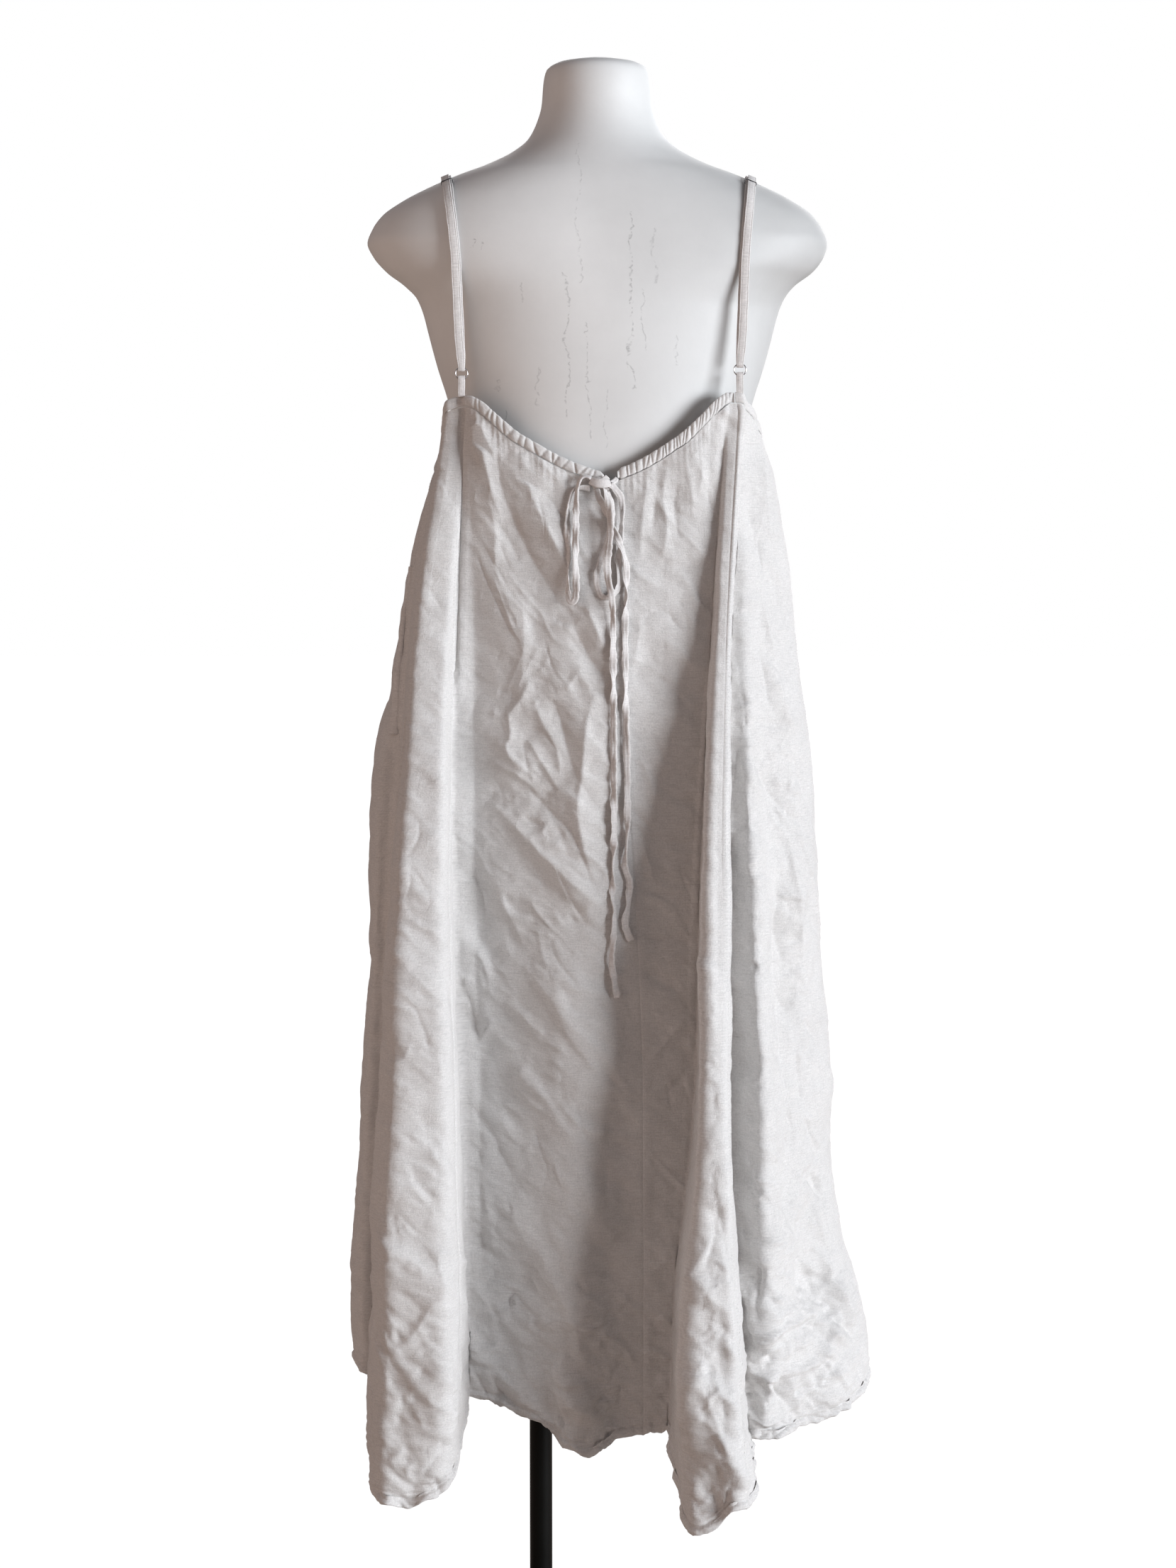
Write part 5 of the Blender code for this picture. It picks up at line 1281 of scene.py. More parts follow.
def press(points, normals, path, height, left, right):
    """Lift of one fold: a crest along its path that falls away on both sides and fades at its ends."""
    reach = 3.4 * max(left, right)
    near = np.flatnonzero(
        np.all((points > path.min(0) - reach) & (points < path.max(0) + reach), axis=1)
    )
    if not len(near):
        return near, np.zeros(0)
    own = points[near]
    starts = path[:-1]
    steps = np.diff(path, axis=0)
    lengths = np.linalg.norm(steps, axis=1)
    best = np.full(len(near), np.inf)
    side = np.zeros(len(near))
    along = np.zeros(len(near))
    travelled = distances(path)
    total = travelled[-1]
    for start, step, length, before in zip(starts, steps, lengths, travelled):
        share = np.clip((own - start) @ step / length**2, 0, 1)
        off = own - start - share[:, None] * step
        apart = np.linalg.norm(off, axis=1)
        closer = apart < best
        best[closer] = apart[closer]
        across = np.cross(normals[near[closer]], step / length)
        side[closer] = np.sum(off[closer] * across, axis=1)
        along[closer] = before + share[closer] * length
    width = np.where(side > 0, right, left)
    crest = 0.08 * min(left, right)
    fall = np.exp(-(np.sqrt(best**2 + crest**2) - crest) / width)
    fade = np.clip(4 * (along / total) * (1 - along / total), 0, 1) ** 0.55
    return near, height * fall * fade


def back_path(points):
    """A drawn fold laid on the cloth's back, in even steps."""
    route = rounded_route(np.array(points, float) / 1000, 4)
    return np.array([(x, back_depth(x, z), z) for x, z in resampled(route, 0.010)])


def wandering_folds(count, places, heights, seed, sizes, lean, spread):
    """Folds like the drawn ones for the sides that the eye does not see first."""
    random = np.random.default_rng(seed)
    folds = []
    for _ in range(count):
        place = random.uniform(*places)
        height = random.uniform(*heights)
        length = random.uniform(0.4, 1.0) * sizes[0]
        angle = lean * random.choice([-1, 1]) + random.normal(0, spread)
        width = random.uniform(0.5, 1.0) * sizes[1]
        lift = random.choice([-1, 1, 1]) * width * random.uniform(0.08, 0.20)
        bow = random.normal(0, 0.10) * length
        spots = []
        for t in np.linspace(-0.5, 0.5, 5):
            sideways = t * length * sin(angle) + bow * (1 - 4 * t * t) * cos(angle)
            spots.append((place + sideways / 0.30, height - t * length * cos(angle)))
        spots = np.array(spots)
        spots[:, 1] = np.clip(spots[:, 1], 0.24, 1.22)
        path = dress_point(spots[:, 0], spots[:, 1])
        folds.append((path, lift, width * random.uniform(0.6, 1.6), width * random.uniform(0.6, 1.6)))
    return folds


def gather_wave(distance):
    """Small pleats that the drawn-up casing leaves in the cloth along its edge."""
    turns = distance / 0.0062 + 0.35 * np.sin(distance / 0.017) + 0.5 * np.sin(distance / 0.047 + 1.0)
    return np.cos(2 * pi * turns) * (0.75 + 0.35 * np.sin(distance / 0.013))


def fine_relief(around, height, above):
    """Cloth crumpled all over, in flats and crests that lean with its diagonal drag."""
    relief = np.zeros(height.shape)
    for depth, cell, *shape in FLATS:
        relief += depth * cell * facets(around, height, cell, *shape)
    low = smooth_step(0.34, 0.05, above)
    for crest, *shape, near_hem in CRESTS:
        relief += (low * crest if near_hem else crest) * wrinkles(around, height, *shape)
    return relief


def press_folds(lift, grid, normals):
    """Adds the drawn folds of the back, and wandering ones on the other sides."""
    folds = [
        (back_path(fold.points), fold.height / 1000, fold.left / 1000, fold.right / 1000)
        for fold in BACK_FOLDS
    ]
    for row in WANDERING_FOLDS:
        folds += wandering_folds(*row)
    flat = grid.reshape(-1, 3)
    flat_normals = normals.reshape(-1, 3)
    flat_lift = lift.reshape(-1)
    for fold in folds:
        near, own = press(flat, flat_normals, *fold)
        flat_lift[near] += own
    return flat_lift.reshape(lift.shape)


def press_seams(lift, seams, around, girth, height):
    """At each seam a groove, a slightly raised turning beside it, and puckers."""
    for index, column in enumerate(seams):
        off = around - around[:, column : column + 1]
        off = (off + girth / 2) % girth - girth / 2
        lift *= 1 - 0.55 * np.exp(-((off / SEAM_FLAT) ** 2))
        pucker = np.sin(height / 0.0034 + 2.2 * np.sin(height / 0.031 + index))
        lift += 0.00022 * pucker * np.exp(-((off / SEAM_PUCKER) ** 2))
        lift += 0.0003 * smooth_step(SEAM_TURNING, 0.0070, np.abs(off - 0.0042) + 0.0042)
        if index == POCKET_SEAM:  # the pocket's mouth gapes at its lower end
            gape = smooth_step(0.918, 0.932, height) * smooth_step(1.002, 0.985, height)
            ahead = 0.0036 * np.exp(-off / 0.014)
            lift += gape * np.where(off >= 0, ahead, -0.0026 * np.exp(off / 0.007))
        lift -= (0.0011 if index == DEEPER_SEAM else 0.0005) * np.exp(-((off / SEAM_GROOVE) ** 2))


def press_hem(lift, above, along):
    """The hem is rolled and stitched: thicker, drawn in above, and puckered. Says how it sags."""
    pucker = np.sin(along / 0.0014 + 1.9 * np.sin(along / 0.0083))
    pucker *= 0.55 + 0.45 * np.sin(along / 0.012)
    ripple = np.sin(along / 0.0062 + 2.1 * np.sin(along / 0.027))
    ripple *= 0.6 + 0.4 * np.sin(along / 0.041)
    roll = np.sqrt(np.clip(1 - ((above - ROLL_MIDDLE) / ROLL_HALF_HEIGHT) ** 2, 0, 1))
    lift += (0.0013 + 0.0007 * pucker) * roll + 0.0022 * ripple * np.exp(-above / 0.016)
    lift -= (0.0012 + 0.0003 * pucker) * np.exp(-(((above - HEM_GROOVE) / 0.0015) ** 2))
    return (0.0007 * pucker + 0.0028 * ripple) * np.exp(-above / 0.009)


Cloth = namedtuple("Cloth", "counts seams grid normals lift around")


def build_cloth():
    """Every panel's outer face as one grid round the dress, then its folds, seams and hem."""
    counts = []
    for index in range(len(PANELS)):
        line = dress_point(np.linspace(index, index + 1, 120), 0.42)
        length = np.linalg.norm(np.diff(line, axis=0), axis=1).sum()
        counts.append(FRONT_COLUMNS if index == FRONT else int(round(length / CLOTH_STEP)))
    places = np.concatenate([np.linspace(i, i + 1, n + 1)[:-1] for i, n in enumerate(counts)])
    seams = np.concatenate([[0], np.cumsum(counts)[:-1]])
    grid = ring_rows(places, CLOTH_ROWS)
    normals = closed_normals(grid)
    step = np.linalg.norm(np.roll(grid, -1, axis=1) - grid, axis=2)
    around = np.concatenate([np.zeros((CLOTH_ROWS, 1)), np.cumsum(step, axis=1)], axis=1)
    girth = around[:, -1:]
    around = around[:, :-1]
    height = grid[..., 2]
    below = grid[0, :, 2] - height
    above = height - grid[-1, :, 2]

    # Fine relief, the same on both sides of the place where the distances round the dress start again
    lift = np.zeros(height.shape)
    join = smooth_step(2.2, 2.8, places)
    for turn, share in ((around, 1 - join), (around - girth, join)):
        lift += fine_relief(turn, height, above) * share
    # More of it low down and on the right side back panel, less where the cloth faces sideways
    lift *= 0.74 + 0.44 * smooth_step(1.08, 0.75, height) + 0.9 * smooth_step(0.30, 0.02, above)
    lift *= 1 + 0.9 * smooth_step(1.15, 1.26, places) * smooth_step(1.9, 1.7, places)
    lift *= 0.38 + 0.62 * np.abs(normals[..., 1])
    lift = press_folds(lift, grid, normals)

    # Pleats under the casing
    edge = distances(grid[0])
    lift += gather_wave(edge) * 0.0005 * np.exp(-below / 0.011)
    lift += 0.0032 * cloth_noise(edge / 0.015, below / 0.06, 81) * np.exp(-below / 0.040)

    press_seams(lift, seams, around, girth, height)
    sag = press_hem(lift, above, edge / edge[-1] * girth[-1, 0])

    # Near the casing the cloth hangs as the casing does
    lift *= smooth_step(-0.004, 0.006, below) * 0.9 + 0.1
    lift = np.where(below < 0.03, np.clip(lift, -0.0022, 0.004), lift)
    lower = sum(drop * np.exp(-(((places - place) / width) ** 2)) for place, width, drop in LOWER_HEM)
    grid[..., 2] += sag - lower * smooth_step(0.22, 0.0, above)
    return Cloth(counts, seams, grid, normals, lift, around)


def clear_of_form(points):
    """Cloth that would dip into the form is laid on it."""
    flat = points.reshape(-1, 3)
    near = np.flatnonzero(flat[:, 2] > FORM_BOTTOM)
    own = flat[near]
    middle, width, depth, power = form_section(own[:, 2], own[:, 1] < 0)
    ratio = (np.abs(own[:, 0] - middle) / (width + FORM_CLEARANCE)) ** power
    ratio += (np.abs(own[:, 1]) / (depth + FORM_CLEARANCE)) ** power
    inside = ratio < 1
    grow = ratio[inside] ** (-1 / power[inside])
    own[inside, 0] = middle[inside] + (own[inside, 0] - middle[inside]) * grow
    own[inside, 1] *= grow
    flat[near] = own
    return flat.reshape(points.shape)


def piece_area(piece):
    areas = np.empty(len(piece.data.polygons))
    piece.data.polygons.foreach_get("area", areas)
    return float(areas.sum())


def declare_sheet(piece, grid):
    """Works out a sheet's flat width and length from its longest row and column, and an area between
    them, and keeps none of them.
    """
    width = float(np.linalg.norm(np.diff(grid, axis=1), axis=2).sum(1).max())
    length = float(np.linalg.norm(np.diff(grid, axis=0), axis=2).sum(0).max())
    area = min(max(piece_area(piece), LEAST_AREA * width * length), width * length)


def build_panels(cloth):
    """Parts the draped cloth at its seams and turns the edge of each panel's hem in on itself."""
    draped = clear_of_form(cloth.grid + cloth.normals * cloth.lift[..., None])
    inward = -closed_normals(cloth.grid)[-1]
    for index, (name, first, count) in enumerate(zip(PANELS, cloth.seams, cloth.counts)):
        columns = np.arange(first, first + count + 1) % draped.shape[1]
        rows = slice(None, None, 2 if index == FRONT else 1)
        own = draped[rows][:, columns]
        across = cloth.around[rows][:, columns]
        across[:, -1] = across[:, -2] + np.linalg.norm(own[:, -1] - own[:, -2], axis=1)
        across -= across[:, :1]
        turned = np.array([own[-1] + inward[columns] * reach + (0, 0, rise) for reach, rise in HEM_TURN])
        across = np.concatenate([across, np.tile(across[-1:], (len(turned), 1))])
        down = np.concatenate([own[..., 2], turned[..., 2] - 0.004])
        grid = np.concatenate([own, turned])
        mesh = sheet_mesh(name + "_cloth", grid, np.stack([across, down], -1))
        piece = finished(mesh, LINEN, [name])
        declare_sheet(piece, own)
    return draped


def casing_folds(pitch, count, seed):
    """The gaps between a drawn-up casing's small pleats: their places, slants, half widths, depths."""
    random = np.random.default_rng(seed)
    places = np.cumsum(random.uniform(0.55, 1.45, count + 6)) * pitch - 2 * pitch
    return (
        places,
        random.uniform(-0.9, 0.9, count + 6) * pitch + 0.35 * pitch,
        random.uniform(0.13, 0.30, count + 6) * pitch,
        random.uniform(0.45, 1.0, count + 6),
    )


def build_casings():
    """The channel for the drawstring, drawn up into small uneven pleats."""
    for number, casing in enumerate(CASINGS):
        marks = np.linspace(casing.start, casing.end, 400)
        run = distances(dress_point(marks, top_height(marks) - CASING_HEIGHT))
        distance = np.linspace(0, run[-1], int(run[-1] / PLEAT_STEP))
        places = np.interp(distance, run, marks)
        rise = casing_height(places)
        foot = top_height(places) - rise
        normal = dress_normal(places, foot - 0.002)
        pitch = run[-1] / casing.gathers
        gaps, slants, widths, depths = casing_folds(pitch, casing.gathers, 40 + number)
        # How far each place is drawn up, and how flat it lies at the two ends in the back's V
        drawn = np.ones(len(distance))
        ends = np.ones(len(distance))
        if casing.name == "casing_back_left":
            drawn = smooth_step(0.008, 0.020, distance) * 0.88 + 0.12
            ends = 1 - 0.35 * smooth_step(CASING_SLACK, 0.0, run[-1] - distance)
        elif casing.name == "casing_back_right":
            ends = 1 - 0.35 * smooth_step(CASING_SLACK, 0.0, distance)
        elif casing.name == "casing_side_left":
            drawn *= 0.35
        rows = []
        for angle in np.linspace(-CASING_WRAP, pi + CASING_WRAP, 26):
            up = 0.5 + 0.5 * sin(angle)
            apart = np.abs(distance[:, None] - (gaps + slants * (up - 0.5))[None]) / widths
            depth = (np.exp(-(apart**1.3)) * depths).max(1) * drawn
            swell = 0.0004 * cloth_noise(distance / 0.004, distance * 0 + up * 3, 90 + number)
            bulge = (CASING_BULGE - PLEAT_DEPTH * depth + swell) * max(cos(angle), -0.35)
            level = foot + rise * (0.5 + (up - 0.5) * ends) - 0.0009 * depth * sin(angle)
            point = dress_point(places, np.minimum(level, 1.33))
            rows.append(point + normal * (bulge - 0.0002)[:, None])
        grid = np.array(rows)[::-1]
        cloth = np.stack(np.broadcast_arrays(distance, np.arange(len(grid))[:, None] * 0.0012), -1)
        mesh = sheet_mesh(casing.name + "_gathered", grid, cloth)
        piece = finished(mesh, LINEN_EDGE, [casing.name])
        wrap = float(np.linalg.norm(np.diff(grid, axis=0), axis=2).sum(0).mean())
        flat = (piece_area(piece) / wrap / CASING_SHOWN, wrap)


# The dress form and its stand
def build_form():
    """The white form through its sections, with a softly rounded edge at the neck and foot."""
    low = FORM_SECTIONS[0].height
    high = FORM_SECTIONS[-1].height
    heights = np.concatenate([np.linspace(low, 1.30, 50), np.linspace(1.30, high, 90)[1:]])[:, None]
    turn = np.linspace(0, 2 * pi, 144, endpoint=False)
    middle, width, depth, power = form_section(heights, np.cos(turn) > 0)
    out = (np.abs(np.sin(turn)) / width) ** power + (np.abs(np.cos(turn)) / depth) ** power
    reach = out ** (-1 / power)
    x = middle + np.sin(turn) * reach
    y = -np.cos(turn) * reach
    grid = np.stack([x, y, np.broadcast_to(heights, x.shape)], -1)

    def inner(edge, share, rise):
        """A section's edge drawn in towards its middle."""
        return edge.mean(0) + (edge - edge.mean(0)) * share + (0, 0, rise)

    foot = [inner(grid[0], share, 0.0005 * (1 - share)) for share in (0.0, 0.35, 0.70, 0.90)]
    crown = [
        inner(grid[-1], share, FORM_CAP * (1 - share**2))
        for share in (0.93, 0.82, 0.62, 0.36, 0.12, 0.0)
    ]
    grid = np.concatenate([foot, grid, crown])[::-1]
    mesh = faces_mesh("form_white", grid, grid_faces(*grid.shape[:2], round_columns=True))
    finished(mesh, form_material(), ["dress_form"])


def rounded_profile(corners, radius, steps=5):
    """Outline of a turned piece with its inner corners rounded."""
    profile = [corners[0]]
    for before, corner, after in zip(corners[:-2], corners[1:-1], corners[2:]):
        corner = np.array(corner, float)
        back = np.array(before, float) - corner
        ahead = np.array(after, float) - corner
        back *= radius / np.linalg.norm(back)
        ahead *= radius / np.linalg.norm(ahead)
        for t in np.linspace(0, 1, steps):
            profile.append(tuple(corner + back * (1 - t) ** 2 + ahead * t**2))
    profile.append(corners[-1])
    return profile


def build_stand():
    """The pole between the flange under the form and the round plate on the floor."""
    black = painted_material("stand_black", STAND_BLACK, 0.42)
    collar_top = FORM_BOTTOM - SEAT_GAP
    collar_foot = collar_top - FLANGE_HEIGHT
    top = collar_foot - SEAT_GAP
    plate = [(0.0, BASE_HEIGHT), (BASE_RADIUS, BASE_HEIGHT), (BASE_RADIUS, 0.0), (0.0, 0.0)]
    tube = [(0.0, top), (POLE_RADIUS, top), (POLE_RADIUS, POLE_FOOT), (0.0, POLE_FOOT)]
    collar = [
        (0.0, collar_top),
        (FLANGE_RADIUS, collar_top),
        (FLANGE_RADIUS, collar_top - 0.005),
        (FLANGE_COLLAR, collar_top - 0.007),
        (FLANGE_COLLAR, collar_foot),
        (0.0, collar_foot),
    ]
    for name, corners, radius, steps in (
        ("base_plate", plate, 0.0022, 128),
        ("pole", tube, 0.0008, 64),
        ("pole_flange", collar, 0.0008, 96),
    ):
        mesh = turned_mesh(name + "_black", rounded_profile(corners, radius), steps)
        finished(mesh, black, [name])


# Straps
def taut_hull(points):
    """The stretched line over a row of (depth, height) points."""
    hull = []
    for i in range(len(points)):
        while len(hull) > 1:
            a = points[hull[-1]] - points[hull[-2]]
            b = points[i] - points[hull[-1]]
            if a[0] * b[1] - a[1] * b[0] >= 0:
                hull.pop()
            else:
                break
        hull.append(i)
    return hull


def ring_centre(strap):
    """Where a strap's ring hangs, over the dress's upper edge."""
    corner = dress_point(strap.back_place, top_height(strap.back_place))
    return np.array([strap.sign * strap.ring_x, corner[1] + WALL / 2, corner[2] + RING_RISE])


def strap_route(strap):
    """From the front corner over the shoulder to the ring, stretched over the form."""
    foot = dress_point(strap.front_place, top_height(strap.front_place))
    foot += np.array([0, -WALL / 2, 4 * SEAM_GAP])
    ring = ring_centre(strap)
    last = ring + np.array([0, RING_LAYER, RING_RADIUS + 2 * RING_WIRE])
    chain = [foot]
    for turn in np.linspace(0.10, pi - 0.05, 140):
        over = smooth_step(0.1, pi / 2, turn)
        down = smooth_step(pi / 2, pi - 0.3, turn)
        x = abs(foot[0]) * (1 - over) + (strap.top_x * (1 - down) + strap.ring_x * down) * over
        start = np.array([strap.sign * x, 0.0, STRAP_PIVOT])
        skin = form_skin(start, np.array([0, np.cos(turn), np.sin(turn)]))
        point = skin + form_normal(skin) * (STRAP_LIFT + STRAP_THICKNESS / 2)
        if point[2] > (foot[2] if point[1] > 0 else last[2]) + STRAP_WIDTH * 1.5:
            chain.append(point)
    chain.append(last)
    chain = np.array(chain)
    return chain[taut_hull(np.stack([-chain[:, 1], chain[:, 2]], -1))]


def turn_round_wire(ring, up):
    """Half a turn of cloth round the ring's wire, from its front to its back."""
    wire = ring + np.array([0, 0, up * RING_RADIUS])
    turn = np.linspace(0, pi, 13)
    return [wire + np.array([0, -RING_LAYER * np.cos(a), -up * 0.0030 * np.sin(a)]) for a in turn]


def webbing_mesh(name, path, across, widths):
    """A sewn strap: rounded edges, a row of stitches pulled in beside each, and slightly wavy sides."""
    across = unit(across)
    out = unit(np.cross(across, directions(path)))
    run = distances(path)
    # Section, once round: share of the half width and of the half thickness
    profile = [
        (-1.00, 0.00), (-0.97, 0.62), (-0.88, 0.96), (-0.76, 0.98), (-0.69, 0.70),
        (-0.62, 0.96), (-0.30, 1.06), (0.00, 1.08), (0.30, 1.06), (0.62, 0.96),
        (0.69, 0.70), (0.76, 0.98), (0.88, 0.96), (0.97, 0.62),
    ]
    profile += [(-u, -v) for u, v in profile]
    edge = 1 + 0.025 * np.sin(run / 0.0041 + 1.7 * np.sin(run / 0.019))
    ripple = 0.00016 * np.sin(run / 0.0033 + 1.3 * np.sin(run / 0.013))
    sections = []
    for u, v in profile:
        ring = path + across * (u * widths / 2 * edge)[:, None] + out * (v * STRAP_THICKNESS / 2)
        sections.append(ring + out * (ripple * abs(u))[:, None])
    return tube_mesh(name, np.stack(sections, 1))


def build_straps():
    """Each strap in one length, with its slider, its ring and the tab that holds it."""
    for strap in STRAPS:
        ring = ring_centre(strap)
        main = softened(resampled(strap_route(strap), STRAP_STEP), 6)
        along = directions(main)
        hanging = (smooth_step(1.425, 1.375, main[:, 2]) * (main[:, 1] < 0))[:, None]
        faces = np.array([form_normal(point) for point in main])
        faces = faces * (1 - hanging) + np.array([0, -1.0, 0]) * hanging
        across = unit(np.cross(along, faces))
        faces = np.cross(across, along)

        # Behind, the strap runs through its ring and back up over itself
        over_ring = main[:, 2] > ring[2] + 2 * RING_RADIUS
        back = np.flatnonzero((main[:, 1] < STRAP_TOP) & over_ring)[::-1]
        rise = smooth_step(2 * RING_RADIUS, STRAP_CLOSING, main[back, 2] - ring[2])[:, None]
        layer = 2 * RING_LAYER * (1 - rise) + (STRAP_THICKNESS + STRAP_LAYERS) * rise
        spread = smooth_step(0, 5 * STRAP_WIDTH, main[back, 2] - ring[2])[:, None] * STRAP_SPREAD
        returned = main[back] + faces[back] * layer + np.array([strap.sign, 0, 0]) * spread

        turned = np.array(turn_round_wire(ring, 1))[::-1]
        path = np.concatenate([main, turned, returned])
        side_way = np.concatenate([across, np.tile(across[-1], (len(turned), 1)), -across[back]])
        side_way[len(main) :] *= np.sign(side_way[len(main) :] @ across[-1])[:, None]
        low = np.minimum(1, abs(path[:, 2] - ring[2] - RING_RADIUS) / (2 * RING_RADIUS))
        low[path[:, 1] > 0] = 1
        widths = STRAP_LOOP_WIDTH + (STRAP_WIDTH - STRAP_LOOP_WIDTH) * low
        mesh = webbing_mesh("strap_sewn_" + strap.side, path, side_way, widths)
        finished(mesh, LINEN_STRAP, ["strap_" + strap.side])

        build_ring(strap, ring)
        top = back[-9]
        middle = (main[top] + returned[-9]) / 2
        build_slider(strap, middle, across[top], along[top])
        build_tab(strap, ring)


def softened(path, times):
    """A route with its small corners eased."""
    path = path.copy()
    for _ in range(times):
        path[1:-1] = path[1:-1] * 0.5 + (path[:-2] + path[2:]) * 0.25
    return path


def build_ring(strap, centre):
    """A thin round wire ring, with the small gap where its ends meet."""
    turn = np.linspace(0.04, 2 * pi - 0.04, 72)
    spine = centre + RING_RADIUS * np.stack([np.sin(turn), np.zeros_like(turn), -np.cos(turn)], -1)
    round_wire = np.linspace(0, 2 * pi, 14, endpoint=False)[:, None]
    sections = []
    for point, angle in zip(spine, turn):
        out = np.array([sin(angle), 0, -cos(angle)])
        sections.append(point + RING_WIRE * (np.cos(round_wire) * out + np.sin(round_wire) * (0, 1, 0)))
    mesh = tube_mesh("ring_wire_" + strap.side, sections)
    finished(mesh, STEEL, ["ring_" + strap.side])


def build_slider(strap, place, across, along):
    """The slider's bent wire frame, a rounded oblong."""
    half_x = (SLIDER_OPENING[0] + SLIDER_BAR) / 2
    half_y = (SLIDER_OPENING[1] + SLIDER_BAR) / 2
    out = np.cross(across, along)
    outline = []
    for quarter, (u, v) in enumerate(((1, 1), (-1, 1), (-1, -1), (1, -1))):
        corner = np.array((u * (half_x - SLIDER_CORNER), v * (half_y - SLIDER_CORNER)))
        start = quarter * 0.5 * pi
        for a in np.linspace(start, start + 0.5 * pi, 7):
            outline.append(corner + (SLIDER_CORNER * cos(a), SLIDER_CORNER * sin(a)))
    outline = np.array(outline)
    spine = place + outline[:, :1] * across + outline[:, 1:] * out
    way = unit(np.roll(spine, -1, axis=0) - np.roll(spine, 1, axis=0))
    side = np.cross(way, along)
    turn = np.linspace(0, 2 * pi, 12, endpoint=False)
    rings = spine[:, None] + (
        SLIDER_BAR / 2 * np.cos(turn)[None, :, None] * side[:, None]
        + 0.0008 * np.sin(turn)[None, :, None] * along[None, None]
    )
    faces = grid_faces(len(outline), len(turn), round_columns=True, round_rows=True)
    mesh = faces_mesh("slider_frame_" + strap.side, rings, faces)
    finished(mesh, DARK_METAL, ["slider_" + strap.side])


def build_tab(strap, ring):
    """A short strip that holds the ring, sewn in at the dress's upper edge."""
    corner = dress_point(strap.back_place, top_height(strap.back_place))
    under = []
    for side in (-1, 1):
        foot = ring + np.array([0, side * (STRAP_THICKNESS / 2 + 0.0002), 0])
        foot[2] = corner[2] - 0.0012
        knee = ring + np.array([0, side * RING_LAYER, -RING_RADIUS - 2 * RING_WIRE])
        under.append([foot, (foot + knee) / 2, knee])
    route = resampled([*under[0], *turn_round_wire(ring, -1), *under[1][::-1]], 0.0012)
    ways = np.tile([1.0, 0, 0], (len(route), 1))
    widths = np.full(len(route), STRAP_LOOP_WIDTH * 1.02)
    mesh = webbing_mesh("tab_sewn_" + strap.side, route, ways, widths)
    finished(mesh, LINEN_STRAP, ["tab_" + strap.side])


# Bow
def tie_point(x, height, layer):
    """A stop of a tie's middle line, in front of the cloth."""
    depth = back_depth(x, height) - TIE_LIFT - TIE_WIDTH / 2 - layer * TIE_LAYER
    return np.array([x, depth, height])


def turned_section(width, thickness, count=28):
    """Section of a sewn tube pressed flat, as shares across and out."""
    turn = np.linspace(0, 2 * pi, count, endpoint=False)
    across = np.sign(np.cos(turn)) * np.abs(np.cos(turn)) ** 0.7 * width / 2
    out = np.sign(np.sin(turn)) * np.abs(np.sin(turn)) ** 0.9 * thickness / 2
    return across, out


def strip_frame(path):
    """The ways across and out of a flat strip that faces backwards along its path."""
    along = directions(path)
    across = unit(np.cross(along, np.tile([0.0, -1.0, 0.0], (len(path), 1))))
    return across, np.cross(across, along)


def sewn_cord(name, route, width, thickness, twist, seed, far_taper):
    """A flat sewn cord along its route: it turns over slowly, creases and swells a little."""
    path = softened(resampled(rounded_route(route), TIE_STEP), 3)
    run = distances(path)
    total = run[-1]
    random = np.random.default_rng(seed)
    across, out = strip_frame(path)
    knots = np.linspace(0, total, max(int(total / TIE_TURNS), 4))
    turn = np.interp(run, knots, random.normal(0, twist, len(knots)))
    turn = np.convolve(np.pad(turn, 8, mode="edge"), np.ones(17) / 17, mode="valid")
    swell = 1 + 0.16 * np.interp(run, knots, random.uniform(-1, 1, len(knots)))
    ends = np.clip((total - run) / TIE_TAPER + far_taper, 0, 1) ** 0.5
    sections = []
    shares, outs = turned_section(1, 1)
    for i, point in enumerate(path):
        c, s = cos(turn[i]), sin(turn[i])
        side = across[i] * c + out[i] * s
        face = out[i] * c - across[i] * s
        wide = width * swell[i] * (0.25 + 0.75 * ends[i])
        pull = run[i] / 0.0019 + 2.0 * sin(run[i] / 0.0083) + 1.3 * sin(run[i] / 0.0031)
        thick = thickness * (0.4 + 0.6 * ends[i]) * (1 + 0.26 * sin(pull))
        edge = 1 + 0.10 * np.sin(pull + np.sign(shares) * 1.1)
        # A stitched edge pulls one side in, and the pressed tube creases down its middle
        pinch = 1 - 0.45 * np.exp(-(((shares - 0.38) / 0.07) ** 2))
        pinch -= 0.60 * np.exp(-(((shares + 0.06 * sin(run[i] / 0.009)) / 0.09) ** 2))
        sections.append(
            point + side * (shares * wide * edge)[:, None] + face * (outs * thick * pinch)[:, None]
        )
    return tube_mesh(name, sections), path, total


